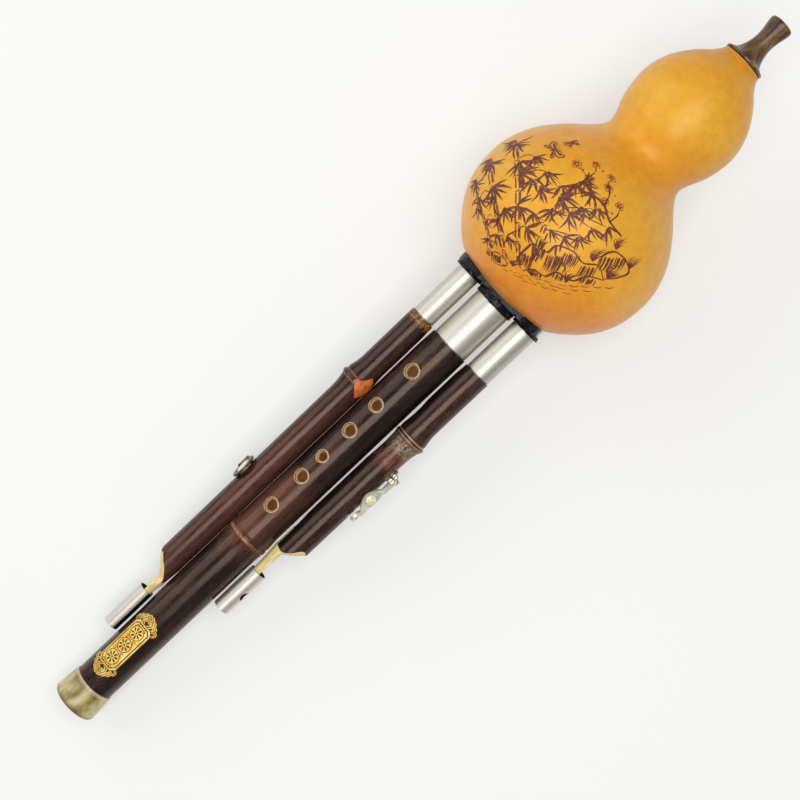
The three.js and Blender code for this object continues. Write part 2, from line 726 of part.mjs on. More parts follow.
function rightDrone() {
  const seat = toneSeat(keyPivotAt - padReach, rightPipe, seatDepth, seatHalfLength)
    .rotate([degrees(keyTurn), 0, 0]);
  const pipe = droneSolid(rightPipe, rightEnd, rightOffset, -1).subtract(seat);
  const key = turnedGroup('right_key', keyTurn, [
    keyLever(), keyPad(), keySaddle(), keyPin(), keySpring(),
    domedPearl(
      'right_key_pearl', ...touchCentre(), leverHeight + leverThickness - pearlSeat + seatGap / 2,
      pearlRadius, pearlRise,
    ),
  ]);
  return groupAt('right_drone', -rightOffset, [
    toMesh(pipe, 'right_drone_pipe', colours.bamboo),
    tenon('right_tenon', rightPipe),
    tuningTube('right_tuning_tube', rightEnd, rightOffset, -1, rightHoleTurn),
    key,
  ]);
}

function windChamber(tilt) {
  const group = new THREE.Group();
  group.name = 'wind_chamber';
  group.add(gourd(tilt), mouthpiece(), seal());
  const sets = [
    ['main', 0, mainPipe, mainCollar],
    ['left', leftOffset, leftPipe, leftCollar],
    ['right', -rightOffset, rightPipe, rightCollar],
  ];
  for (const [name, y, pipe, collarSpec] of sets) {
    group.add(groupAt(`${name}_socket_set`, y, [
      socket(`${name}_socket`, pipe),
      collar(`${name}_seal_collar`, collarSpec, pipe, y),
      reedTube(`${name}_reed_tube`, pipe),
      reed(`${name}_reed`, pipe),
    ]));
  }
  return group;
}

function instrument() {
  const tilt = restingTilt();
  const body = new THREE.Group();
  body.name = 'instrument';
  body.add(windChamber(tilt));
  body.add(groupAt('main', 0, [mainBody(), footRing(), tenon('main_tenon', mainPipe)]));
  body.add(leftDrone());
  body.add(rightDrone());
  body.rotation.y = -tilt;
  const whole = new THREE.Group();
  whole.name = 'gourd_flute';
  whole.add(body);
  whole.updateMatrixWorld(true);
  const bounds = new THREE.Box3().setFromObject(whole, true);
  const centre = bounds.getCenter(new THREE.Vector3());
  body.position.set(-centre.x, -centre.y, -bounds.min.z);
  return whole;
}

export default instrument();
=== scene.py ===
import bpy
import random
from math import atan2, cos, hypot, pi, radians, sin, sqrt
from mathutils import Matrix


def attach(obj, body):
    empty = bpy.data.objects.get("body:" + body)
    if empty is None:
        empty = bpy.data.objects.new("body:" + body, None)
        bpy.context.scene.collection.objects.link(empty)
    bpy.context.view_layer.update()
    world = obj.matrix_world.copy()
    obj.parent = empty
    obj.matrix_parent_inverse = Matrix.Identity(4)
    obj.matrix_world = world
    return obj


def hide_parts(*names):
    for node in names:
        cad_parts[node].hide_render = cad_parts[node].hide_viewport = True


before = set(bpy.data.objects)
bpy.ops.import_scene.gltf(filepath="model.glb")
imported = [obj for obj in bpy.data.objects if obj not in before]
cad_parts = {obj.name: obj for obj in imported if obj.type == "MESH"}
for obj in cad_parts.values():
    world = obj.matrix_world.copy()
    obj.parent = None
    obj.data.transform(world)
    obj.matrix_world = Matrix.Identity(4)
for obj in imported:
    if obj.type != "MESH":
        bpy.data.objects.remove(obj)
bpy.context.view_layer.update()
MM = 0.001


# Shooting table
# The flute lies on a white table and is photographed from straight above, turned 43.5 degrees
# in the picture. A white cloth tent over the table gives wide, soft light from two sides.

def let_go():
    """Leaves edit mode and deselects everything, so that the next step acts on one piece alone."""
    if bpy.context.object and bpy.context.object.mode != "OBJECT":
        bpy.ops.object.mode_set(mode="OBJECT")
    bpy.ops.object.select_all(action="DESELECT")


def started(name, primitive, **sizes):
    """A new piece that begins as one of Blender's primitives, selected alone."""
    let_go()
    primitive(**sizes)
    bpy.context.object.name = name
    return bpy.context.object


def linear(colour):
    """sRGB hex to the linear colour that a shader takes."""
    parts = [int(colour[i:i + 2], 16) / 255 for i in (1, 3, 5)]
    return [p / 12.92 if p <= 0.04045 else ((p + 0.055) / 1.055) ** 2.4 for p in parts] + [1]


def add(tree, kind, inputs, stops=(), **settings):
    """One node, new or given: options, colour stops, and a value, hex or node for each input."""
    node = tree.nodes.new("ShaderNode" + kind) if isinstance(kind, str) else kind
    for name, value in settings.items():
        setattr(node, name, value)
    for name, value in inputs.items():
        if isinstance(value, bpy.types.Node):
            value = [socket for socket in value.outputs if socket.enabled][0]
        if isinstance(value, bpy.types.NodeSocket):
            tree.links.new(value, node.inputs[name])
        else:
            node.inputs[name].default_value = linear(value) if isinstance(value, str) else value
    for k, (place, colour) in enumerate(stops):
        if k == len(node.color_ramp.elements):
            node.color_ramp.elements.new(1)
        node.color_ramp.elements[k].position = place
        node.color_ramp.elements[k].color = linear(colour)
    return node


def material(name):
    """An empty material: its tree and its surface shader."""
    made = bpy.data.materials.new(name)
    made.use_nodes = True
    made.node_tree.nodes.clear()
    surface = add(made.node_tree, "BsdfPrincipled", {})
    add(made.node_tree, "OutputMaterial", {"Surface": surface})
    return made, made.node_tree, surface


shot = bpy.data.cameras.new("shot")
shot.lens, shot.sensor_width, shot.clip_end = 74.25, 36, 20
camera = bpy.data.objects.new("shot", shot)
camera.location = (-0.0131, -0.00385, 0.737)
camera.rotation_euler = (0, 0, radians(-43.47))
bpy.context.scene.collection.objects.link(camera)
bpy.context.scene.camera = camera
bpy.context.scene.view_settings.view_transform = "Standard"

table = started("white_table", bpy.ops.mesh.primitive_plane_add, size=6)
# Matt white laminate: no gloss, and for the eye half of its white is plain, which keeps the
# flute's shadow on it faint.
white, tree, surface = material("matt_white_laminate")
add(tree, surface, {"Base Color": "#F2F2F0", "Roughness": 0.9, "Specular IOR Level": 0.1})
path = add(tree, "LightPath", {})
part = add(tree, "Math", {0: path.outputs["Is Camera Ray"], 1: 0.46}, operation="MULTIPLY")
plain = add(tree, "Emission", {"Color": "#F6F6F4"})
blend = add(tree, "MixShader", {0: part, 1: surface, 2: plain})
add(tree, tree.nodes["Material Output"], {"Surface": blend})
table.data.materials.append(white)

# The tent gives a low fill light; the camera sees its cloth as plain pale grey.
world = bpy.data.worlds.new("cloth_tent")
world.use_nodes = True
bpy.context.scene.world = world
tree = world.node_tree
seen = add(tree, "LightPath", {})
glow = add(tree, "MapRange", {"Value": seen.outputs["Is Camera Ray"], "To Min": 0.33,
    "To Max": 0.8})
add(tree, tree.nodes["Background"], {"Color": "#FFFFFF", "Strength": glow})

# Two soft square lamps face the flute's middle, 30 mm above the table.
for name, place, size, power in [("lamp_overhead", (0, -0.1, 1.25), (1.3, 0.75), 11.6),
        ("lamp_upper_left", (-0.1, 1.05, 0.7), (1.2, 0.9), 5.2)]:
    lamp = bpy.data.lights.new(name, "AREA")
    lamp.shape = "RECTANGLE"
    lamp.size, lamp.size_y = size
    lamp.energy = power
    holder = bpy.data.objects.new(name, lamp)
    holder.location = place
    x, y, z = place[0], place[1], place[2] - 0.03
    holder.rotation_euler = (atan2(hypot(x, y), z), 0, atan2(x, -y))
    bpy.context.scene.collection.objects.link(holder)


# Gourd
# The wind chamber is a dried bottle gourd, scraped clean and lacquered to a golden satin. Its
# domed end is sawn open for the three pipes, and its stem is drilled for the mouthpiece.

# The flute lies tilted on its lower lobe and its foot, where X starts. All sizes are in mm.
TILT = radians(6.718823)
FOOT = (-208.369, -1.6, 10.6445)
GOURD_START, GOURD_LENGTH, LOBE, GOURD_SIDE = 256, 140, 45.7, 1.6
RIM = GOURD_START + GOURD_LENGTH
# Outside and hollow, as shares of the gourd's length and of its lobe's radius.
GOURD_OUTSIDE = [(0.016, 0.306), (0.034, 0.535), (0.054, 0.633), (0.081, 0.725), (0.116, 0.823),
    (0.161, 0.913), (0.214, 0.976), (0.268, 1), (0.321, 1), (0.375, 0.965), (0.428, 0.895),
    (0.471, 0.808), (0.516, 0.688), (0.557, 0.559), (0.586, 0.483), (0.611, 0.456), (0.643, 0.483),
    (0.682, 0.535), (0.729, 0.568), (0.779, 0.581), (0.821, 0.563), (0.861, 0.52), (0.896, 0.459),
    (0.932, 0.376), (0.964, 0.279), (0.989, 0.225), (1, 0.214)]
GOURD_HOLLOW = [(0.964, 0.118), (0.932, 0.27), (0.896, 0.36), (0.861, 0.43), (0.779, 0.5),
    (0.682, 0.45), (0.611, 0.37), (0.557, 0.475), (0.516, 0.6), (0.471, 0.72), (0.428, 0.81),
    (0.375, 0.885), (0.295, 0.92), (0.214, 0.885), (0.161, 0.81), (0.116, 0.7), (0.075, 0.49),
    (0.054, 0.02)]


def eased(stations, step):
    """Stations closer together on a smooth curve through the given ones."""
    fine = []
    ends = [stations[0]] + list(stations) + [stations[-1]]
    for before, here, there, after in zip(ends, ends[1:], ends[2:], ends[3:]):
        span = max(abs(there[0] - here[0]), abs(there[1] - here[1]))
        parts = max(1, round(span / step))
        for k in range(parts):
            t = k / parts
            fine.append(tuple(
                0.5 * (2 * b + (c - a) * t + (2 * a - 5 * b + 4 * c - d) * t * t
                + (3 * b - a - 3 * c + d) * t * t * t)
                for a, b, c, d in zip(before, here, there, after)))
    return fine + [tuple(stations[-1])]


def take(piece):
    """Selects one piece alone."""
    let_go()
    piece.select_set(True)
    bpy.context.view_layer.objects.active = piece


def edit(action="SELECT"):
    """Opens the active piece in edit mode, with all of it selected or nothing."""
    bpy.ops.object.mode_set(mode="EDIT")
    bpy.ops.mesh.select_all(action=action)


def give(piece, finish):
    """Adds a finish to a piece and says which number it has there."""
    if not any(piece.data.materials):
        piece.data.materials.clear()
    piece.data.materials.append(finish)
    return len(piece.data.materials) - 1


def close_up(piece, gap=0.004, finish=None):
    """Joins the ends that meet, turns the faces outward, leaves edit mode and gives a finish."""
    edit()
    bpy.ops.mesh.remove_doubles(threshold=gap * MM)
    bpy.ops.mesh.normals_make_consistent(inside=False)
    bpy.ops.object.mode_set(mode="OBJECT")
    middle = sum((corner.co for corner in piece.data.vertices), piece.data.vertices[0].co * 0)
    middle /= len(piece.data.vertices)
    room = sum((face.center - middle).dot(face.normal) * face.area for face in piece.data.polygons)
    if room < 0:
        bpy.ops.object.mode_set(mode="EDIT")
        bpy.ops.mesh.flip_normals()
        bpy.ops.object.mode_set(mode="OBJECT")
    if finish:
        give(piece, finish)
    return piece


def turned(name, stations, sides, at=(0, 0), finish=None):
    """A piece turned on a lathe: a ring drawn out along X from station to station, in mm."""
    x, radius = stations[0]
    # A solid piece begins and ends right beside its axis, and these ends become one point.
    gap = 0.05 if radius < 0.05 else 0.004
    piece = started(name, bpy.ops.mesh.primitive_circle_add, vertices=sides, radius=radius * MM,
        fill_type="NOTHING", location=(x * MM, at[0] * MM, at[1] * MM), rotation=(0, pi / 2, 0))
    bpy.ops.object.transform_apply()
    edit()
    for (x, radius), (next_x, next_radius) in zip(stations, stations[1:]):
        bpy.ops.mesh.extrude_region_move(
            TRANSFORM_OT_translate={"value": ((next_x - x) * MM, 0, 0)})
        if abs(next_radius - radius) > 1e-6:
            wider = next_radius / radius
            bpy.ops.transform.resize(value=(1, wider, wider),
                center_override=(next_x * MM, at[0] * MM, at[1] * MM))
    return close_up(piece, gap, finish)


def changed(piece, kind, **settings):
    """Puts a modifier on a piece and applies it."""
    take(piece)
    change = piece.modifiers.new(kind.lower(), kind)
    for name, value in settings.items():
        setattr(change, name, value)
    bpy.ops.object.modifier_apply(modifier=change.name)


def cut_away(piece, cutter, how="DIFFERENCE"):
    """Saws, drills or joins one piece with another, which is used up; the cut keeps its finish."""
    changed(piece, "BOOLEAN", operation=how, solver="MANIFOLD", material_mode="TRANSFER",
        object=cutter)
    bpy.data.objects.remove(cutter, do_unlink=True)


def set_place(piece, place=(0, 0, 0), turn=(0, 0, 0)):
    """Moves a finished shape, in mm, and settles the move into its mesh."""
    take(piece)
    piece.rotation_euler = turn
    piece.location = [c * MM for c in place]
    bpy.ops.object.transform_apply()
    return piece


def fit(piece, body, replaces=(), sharp=35, place=FOOT, tilt=-TILT):
    """Lays a piece on the table with the flute, smooths it and ties it to its body."""
    set_place(piece, place, (0, tilt, 0))
    bpy.ops.object.shade_smooth_by_angle(angle=radians(sharp))
    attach(piece, body)
    if replaces:
        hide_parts(*replaces)


def flute_coordinates(tree):
    """Object coordinates turned level with the flute, in mm: X is the distance from the foot."""
    place = add(tree, "TexCoord", {})
    return add(tree, "Mapping", {"Vector": place.outputs["Object"],
        "Location": [c * MM for c in FOOT], "Rotation": (0, -TILT, 0), "Scale": (MM, MM, MM)},
        vector_type="TEXTURE")


def arc(centre, radius, start, end, count):
    """Points on part of a circle, angles in degrees."""
    turns = [radians(start + (end - start) * k / count) for k in range(count + 1)]
    return [(centre[0] + radius * cos(turn), centre[1] + radius * sin(turn)) for turn in turns]


def sawn(name, outline, low, high, finish=None):
    """A flat piece sawn from sheet to an outline, between two heights."""
    piece = started(name, bpy.ops.mesh.primitive_circle_add, vertices=len(outline), radius=1,
        fill_type="NGON")
    for corner, (x, y) in zip(piece.data.vertices, outline):
        corner.co = (x * MM, y * MM, low * MM)
    edit()
    bpy.ops.mesh.extrude_region_move(TRANSFORM_OT_translate={"value": (0, 0, (high - low) * MM)})
    return close_up(piece, finish=finish)


def stood(piece, at=0):
    """Stands a sawn piece on edge: its outline's X and Y become side and height."""
    return set_place(set_place(piece, turn=(pi / 2, 0, pi / 2)), (at, 0, 0))


def rounded_slot(name, start, end, half_width, half_height, side):
    """A block along X with round edges, for the gourd's mouth or the plug in it."""
    reach = half_width - half_height
    return stood(sawn(name, arc((side + reach, 0), half_height, -90, 90, 28)
        + arc((side - reach, 0), half_height, 90, 270, 28), start, end))


def lumpy(piece, size, depth):
    """Dents a piece inward only."""
    cloud = bpy.data.textures.new(piece.name + "_lumps", "CLOUDS")
    cloud.noise_scale = size * MM
    changed(piece, "DISPLACE", texture=cloud, texture_coords="LOCAL", mid_level=1,
        strength=depth * MM)


def slice_at(place, side, **how):
    """Cuts the piece that is open in edit mode along a plane."""
    bpy.ops.mesh.select_all(action="SELECT")
    bpy.ops.mesh.bisect(plane_co=[c * MM for c in place], plane_no=side, **how)


outside = eased([(GOURD_START + a * GOURD_LENGTH, r * LOBE) for a, r in GOURD_OUTSIDE], 1.5)
hollow = eased([(GOURD_START + a * GOURD_LENGTH, r * LOBE) for a, r in GOURD_HOLLOW], 4)
gourd = turned("gourd_shell", [(GOURD_START, 0.9)] + outside + [(RIM, 5.4)] + hollow
    + [(hollow[-1][0], 0.9), (GOURD_START, 0.9)], 112, (GOURD_SIDE, 0))
cut_away(gourd, rounded_slot("mouth_cutter", 250, 270.6, 24.2, 14, GOURD_SIDE / 2))
# A grown shell is never quite round: it is dented inward a little, never outward.
lumpy(gourd, 50, 0.6)
# It stands on a small flat under its lower lobe.
set_place(gourd, FOOT, (0, -TILT, 0))
edit()
slice_at((0, 0, 0.12), (0, 0, 1), use_fill=True, clear_inner=True)
fit(gourd, "wind_chamber", ["gourd"], place=(0, 0, 0), tilt=0)

# Lacquered gourd rind: satin and warm, deeper orange where the lacquer lies thick at the waist,
# with cloudy patches of 15 mm and pores under half a millimetre. The flank by the right drone is a
# deeper orange as painted shade. The lacquer is yellow itself, so lights on it are golden.
rind, tree, surface = material("lacquered_gourd_rind")
where = flute_coordinates(tree)
along = add(tree, "SeparateXYZ", {"Vector": where})
clouds = add(tree, "TexNoise", {"Vector": where, "Scale": 0.045, "Detail": 4, "Roughness": 0.55})
wander = add(tree, "Math", {0: clouds, 1: 26, 2: -13}, operation="MULTIPLY_ADD")
# Painted shade: the colour bands shift along Y, so the flank by the right drone is a deeper
# orange.
wander_and_side_shade = add(tree, "Math", {0: along.outputs["Y"], 1: 0.35, 2: wander}, operation="MULTIPLY_ADD")
station = add(tree, "Math", {0: along.outputs["X"], 1: wander_and_side_shade}, operation="ADD")
share = add(tree, "MapRange", {"Value": station, "From Min": GOURD_START, "From Max": RIM})
depth = add(tree, "ValToRGB", {"Fac": share}, [(0, "#D8640E"), (0.09, "#E8841C"), (0.2, "#E9A433"),
    (0.42, "#E1A531"), (0.56, "#DA8A20"), (0.64, "#E0962A"), (0.76, "#E3A834"), (0.92, "#DB952A"),
    (1, "#C07C24")])
mottle = add(tree, "TexNoise", {"Vector": where, "Scale": 0.22, "Detail": 6, "Roughness": 0.6})
patch = add(tree, "ValToRGB", {"Fac": mottle}, [(0.3, "#D08724"), (0.5, "#DFA030"),
    (0.72, "#EBB83E")])
body_colour = add(tree, "Mix", {0: 0.35, 6: depth, 7: patch}, data_type="RGBA")
pores = add(tree, "TexNoise", {"Vector": where, "Scale": 2.2, "Detail": 3})
pore_mask = add(tree, "MapRange", {"Value": pores, "From Min": 0.54, "From Max": 0.76,
    "To Max": 0.45})
skin = add(tree, "Mix", {0: pore_mask, 6: body_colour, 7: "#C47A2C"}, data_type="RGBA")
uneven = add(tree, "Bump", {"Height": mottle, "Strength": 0.12, "Distance": 0.0004})
add(tree, surface, {"Base Color": skin, "Normal": uneven, "Roughness": 0.36,
    "Specular IOR Level": 0.35, "Specular Tint": "#FFECAE", "Coat Weight": 0.16,
    "Coat Roughness": 0.25})
give(gourd, rind)


# Burnt drawing
# A brush-like drawing burnt into the rind with a hot wire and toned dark brown: bamboo beside a
# rock, with a flowering twig and two butterflies. It is a common garden motif, in one plane.

DRAWING_CENTRE, ENLARGED = (291.7, 10.6), 1.27
chance = random.Random(7)
strokes = []
petals = []


def brush(points, width, ends=(0.15, 0.1), into=None):
    """One stroke through points in mm on the drawing: thin at both ends, widest between."""
    line = eased(points, 0.7)
    last = max(1, len(line) - 1)
    marks = []
    for k, (x, y) in enumerate(line):
        t = k / last
        swell = min(1, ends[0] + t * 5, ends[1] + (1 - t) * 2.2)
        marks.append((x, y, width * max(0.08, swell)))
    (strokes if into is None else into).append(marks)


def leaf(x, y, heading, length, width):
    """A bamboo leaf: one pressed stroke that runs out to a point."""
    bend = chance.uniform(-0.25, 0.25)
    tip = (x + length * cos(heading + bend), y + length * sin(heading + bend))
    middle = (x + 0.5 * length * cos(heading), y + 0.5 * length * sin(heading))
    brush([(x, y), middle, tip], width, (0.3, 0.02))


def stalk(points, width, nodes):
    """A bamboo stalk: two edges and a shaded side, broken at each node."""
    line = eased(points, 0.7)
    count = len(line)
    cuts = [round(count * k / nodes) for k in range(nodes + 1)]
    for start, end in zip(cuts, cuts[1:]):
        part = line[start:max(start + 3, end - 1)]
        for side in (-0.5, 0.5):
            edge = []
            for k, (x, y) in enumerate(part):
                ahead = part[min(k + 1, len(part) - 1)]
                behind = part[max(k - 1, 0)]
                dx, dy = ahead[0] - behind[0], ahead[1] - behind[1]
                size = hypot(dx, dy) or 1
                edge.append((x - dy / size * side * width, y + dx / size * side * width))
            brush(edge[::3] + [edge[-1]], 0.34 if side < 0 else 0.5, (0.6, 0.5))
        shade = [(x + width * 0.22, y) for x, y in part]
        brush(shade[::3] + [shade[-1]], width * 0.3, (0.3, 0.3))
        x, y = part[-1]
        brush([(x - width * 0.7, y + 0.1), (x, y + 0.45), (x + width * 0.7, y + 0.1)], 0.45)


def spray(x, y, heading, size, count):
    """A fan of leaves hanging from the end of a twig."""
    for k in range(count):
        turn = heading + (k - (count - 1) / 2) * chance.uniform(0.3, 0.46)
        leaf(x + chance.uniform(-0.7, 0.7), y + chance.uniform(-0.7, 0.7), turn,
            size * chance.uniform(0.7, 1.1), size * chance.uniform(0.1, 0.15))


def rock(outline, hatch):
    """A rock: an uneven outline pressed twice, and slanting hatch in its shaded folds."""
    brush(outline, 0.5, (0.4, 0.4))
    brush([(x + 0.3, y - 0.3) for x, y in outline], 0.28, (0.4, 0.4))
    for x, y, length, lines in hatch:
        for k in range(lines):
            sx = x + k * 0.62 + chance.uniform(-0.2, 0.2)
            sy = y - k * 0.12 + chance.uniform(-0.3, 0.3)
            brush([(sx, sy), (sx - length * 0.2, sy - length * 0.5),
                (sx - length * 0.5, sy - length)], chance.uniform(0.35, 0.65), (0.5, 0.1))


def blossom(x, y, size):
    """A five petalled flower: small round outlines about a dark middle, dabbed red."""
    for k in range(5):
        turn = radians(72 * k + 18)
        px, py = x + 0.62 * size * cos(turn), y + 0.62 * size * sin(turn)
        ring = [(px + 0.45 * size * cos(a), py + 0.45 * size * sin(a))
            for a in [turn + radians(d) for d in range(-150, 181, 55)]]
        brush(ring, 0.26, (0.7, 0.7))
        brush([(x + 0.2 * size * cos(turn), y + 0.2 * size * sin(turn)), (px, py)], size * 0.62,
            (0.7, 0.7), petals)


def butterfly(x, y, size, heading):
    """A butterfly seen from the side: four wing outlines with veins, body and feelers."""
    def at(along, across):
        return (x + size * (along * cos(heading) - across * sin(heading)),
            y + size * (along * sin(heading) + across * cos(heading)))
    for side in (1, -1):
        brush([at(0.1, 0.05 * side), at(0.5, 0.6 * side), at(0.45, 1.05 * side),
            at(0, 0.95 * side), at(-0.12, 0.4 * side), at(0, 0.05 * side)], 0.5, (0.7, 0.7))
        brush([at(-0.1, 0.08 * side), at(-0.5, 0.5 * side), at(-0.62, 0.8 * side),
            at(-0.3, 0.72 * side), at(-0.08, 0.3 * side)], 0.45, (0.7, 0.7))
        for reach in (0.3, 0.42, 0.18):
            brush([at(0.06, 0.15 * side), at(reach, 0.85 * side)], size * 0.09, (0.4, 0.5))
        brush([at(-0.15, 0.2 * side), at(-0.45, 0.62 * side)], size * 0.12, (0.4, 0.5))
        brush([at(0.3, 0.02 * side), at(0.62, 0.25 * side)], 0.2, (0.6, 0.4))
    brush([at(0.32, 0), at(0, 0.02), at(-0.42, 0)], size * 0.16, (0.5, 0.2))


# Four bamboo stalks lean over the picture and carry most of the dark leaves.
stalk([(-24.5, -13), (-24, -2), (-26, 9), (-28.5, 19)], 1.5, 6)
stalk([(-17.5, -17), (-16.5, -4), (-17.5, 10), (-22, 25)], 1.9, 7)
stalk([(-11, -18.5), (-8.5, -5), (-7.5, 8), (-9.5, 21), (-14, 32)], 1.7, 9)
stalk([(-3, -13), (1.5, -3), (7.5, 6), (14.5, 13)], 1.3, 7)
for x, y, heading, size, count in [(-28.5, 19.5, 3.9, 6.5, 7), (-28, 17, 5.2, 6, 6),
        (-22, 25.5, 3.6, 7.5, 8), (-21, 24, 5, 7, 7), (-25, 10, 4.4, 6.5, 7),
        (-27.5, 6, 4.9, 6, 6), (-18, 12, 5.2, 7.5, 8), (-17, 8, 3.6, 6.5, 6),
        (-14, 32, 3.9, 6.5, 7), (-12.5, 30, 5.5, 7, 8), (-8, 20, 5, 7.5, 8), (-7, 15, 5.9, 7, 8),
        (-8, 4, 5.5, 7, 8), (-16, 0, 4.1, 6.5, 7), (-22.5, 0, 4.6, 5.5, 6),
        (14.5, 13, 5.7, 7.5, 8), (12.5, 11.5, 4.7, 7, 8), (7, 6.5, 5.9, 7, 8), (4, 2.5, 4.6, 6, 7),
        (17.5, 8.5, 4.4, 6.5, 7), (0, 9.5, 5.4, 6.5, 7), (9, 1, 5.3, 6, 7),
        (-2.5, 1.5, 4.9, 5.5, 6), (19, 3, 5, 6, 7), (14, 3, 4.6, 6, 7), (3, -4.5, 5.2, 5, 6),
        (22, -3, 4.7, 5.5, 6), (16.5, -3.5, 5.1, 5.5, 6), (-13.5, -7, 5.1, 6.5, 8),
        (-19.5, -6.5, 4.3, 6, 7), (-4.5, -4, 5.5, 6, 8), (-13, 3.5, 5, 6.5, 8),
        (7.5, -6, 5.2, 5.5, 7), (12, -6.5, 4.8, 5, 7), (-25.5, -7.5, 4.5, 5.5, 7),
        (2, 15, 5, 6, 7), (-3, 21.5, 5.4, 6, 7), (-2.5, 12.5, 4.7, 6, 7), (7, 10.5, 5.1, 5.5, 7)]:
    spray(x, y, heading, size, count)
for path in [[(-19, 10), (-22, 12), (-25, 10)], [(-16.5, -2), (-20, 2), (-22.5, 0)],
        [(-7.5, 8), (-4, 11), (0, 9.5)], [(6.5, 4.5), (12, 8), (17.5, 8.5)],
        [(-8.5, 16), (-5, 17), (-7, 15)], [(3.5, 0.5), (9, 3), (14, 3), (19, 3)],
        [(3, -0.5), (6.5, 1.5), (9, 1)], [(10, 3), (16, -0.5), (22, -3)],
        [(10, 2.5), (13.5, -1.5), (16.5, -3.5)], [(-9, -8), (-11, -5.5), (-13.5, -7)],
        [(-17, -9), (-18.5, -6), (-19.5, -6.5)], [(-8.5, -5), (-6.5, -3), (-4.5, -4)],
        [(1, -4), (5, -4.5), (12, -6.5)], [(-7.5, 13.5), (-2, 16), (2, 15), (7, 10.5)],
        [(-9.5, 21), (-6, 23), (-3, 21.5)]]:
    brush(path, 0.4)

# Three rocks at the foot of the bamboo, with grass between them.
rock([(-10, -21), (-11, -16), (-7, -11.5), (-3, -9), (1.5, -11.5), (5, -9), (10.5, -11),
    (13.5, -14.5), (18.5, -15.5), (20.5, -20.5)], [(-8, -13, 5.5, 8), (-2.5, -10, 4, 7),
    (2, -12.5, 6, 9), (8, -11.5, 4.5, 8), (13, -15.5, 4, 9)])
rock([(-10, -21), (-5, -19), (-0.5, -21), (4.5, -18.5), (10, -21), (15, -19), (20.5, -20.5)],
    [(-5, -19.5, 2.6, 7), (4, -19, 2.6, 8), (13.5, -19.5, 2.2, 8)])
rock([(-3, -9), (-4, -13.5), (-1.5, -17)], [(-3, -12, 3.8, 4)])
rock([(5, -9), (4.5, -12.5), (7.5, -16), (6.5, -18.5)], [(5.5, -12.5, 3.5, 5)])
rock([(18, -15.5), (20, -12), (24, -11), (28, -14), (29.5, -18.5), (25, -20), (20.5, -20)],
    [(20, -12.5, 4.5, 7), (25, -13, 4, 6)])
rock([(-27.5, -19), (-26.5, -15.5), (-23, -14.5), (-19.5, -16.5), (-18, -20), (-23, -21),
    (-27.5, -19)], [(-25.5, -15.5, 3.6, 9)])
for x, y, lean, count in [(-22, -20, -0.5, 11), (-14.5, -20, 0.3, 10), (22, -20, 0.5, 11),
        (16.5, -14, 0.3, 9), (-6, -22.5, -0.1, 8), (29.5, -17.5, 0.5, 9), (8, -22, 0.2, 8),
        (-28, -17, -0.3, 8), (0, -10.5, 0.1, 7), (24.5, -10.5, 0.4, 8)]:
    for k in range(count):
        turn = pi / 2 - lean + (k - (count - 1) / 2) * 0.17
        reach = chance.uniform(3, 6)
        brush([(x, y), (x + 0.6 * reach * cos(turn), y + 0.6 * reach * sin(turn)),
            (x + reach * cos(turn - 0.4), y + 0.85 * reach * sin(turn))], 0.36, (0.8, 0.02))
for row, length in ((0, 11), (1, 8), (2, 5)):
    for k in range(length):
        x = -22 + 5 * row + 4.4 * k + chance.uniform(-0.8, 0.8)
        y = -23 - 1.7 * row + chance.uniform(-0.3, 0.3)
        brush([(x, y), (x + 1.8, y - 0.5), (x + 3.6, y)], 0.3)

# A flowering twig comes in from the right, and two butterflies keep above it.
brush([(27, -6), (23, -1), (21.5, 4.5), (17.5, 9), (16.5, 15), (12.5, 20)], 0.85, (0.9, 0.1))
brush([(21.5, 4.5), (24.5, 9.5), (25, 14), (27.5, 17.5)], 0.7, (0.8, 0.1))
brush([(16.5, 15), (20, 18.5), (21, 22.5)], 0.55, (0.8, 0.1))
brush([(23, -1), (26.5, 1.5), (28, 4.5)], 0.5, (0.8, 0.1))
for x, y, size in [(12.5, 20.5, 2.1), (21, 23, 2), (27.5, 18, 1.9), (24.8, 12.5, 2.1),
        (17.2, 14.8, 1.9), (28, 5, 1.8), (21.8, 6, 1.7)]:
    blossom(x, y, size)
for x, y in [(23.5, 19.8), (14.5, 17.8), (26.5, 15.6), (26.8, 8.9), (24, 1.6), (19.2, 20.6)]:
    brush([(x, y), (x + 0.5, y + 0.8)], 1, (0.8, 0.6), petals)
    brush([(x - 0.5, y - 0.9), (x, y)], 0.4)
butterfly(3.5, 26, 4.6, 0.5)
butterfly(10.5, 32.5, 3.4, 2.3)


def patterned(name, noise, stops, looks, stretch=None, dull=None, bump=None):
    """A finish of one pattern, which sets its tones and, if asked, its dullness and bumps."""
    made, tree, surface = material(name)
    where = flute_coordinates(tree)
    if stretch:
        where = add(tree, "Mapping", {"Vector": where, "Scale": stretch})
    grain = add(tree, "TexNoise", {"Vector": where, **noise})
    if stops:
        looks["Base Color"] = add(tree, "ValToRGB", {"Fac": grain}, stops)
    if dull:
        span = dict(zip(("From Min", "From Max", "To Min", "To Max"), dull))
        looks["Roughness"] = add(tree, "MapRange", {"Value": grain, **span})
    if bump:
        looks["Normal"] = add(tree, "Bump", {"Height": grain, "Strength": bump[0],
            "Distance": bump[1]})
    add(tree, surface, looks)
    return made


def meshed(name, curve):
    """Makes a piece of a curve."""
    piece = bpy.data.objects.new(name, curve)
    bpy.context.scene.collection.objects.link(piece)
    take(piece)
    bpy.ops.object.convert(target="MESH")
    return bpy.context.object


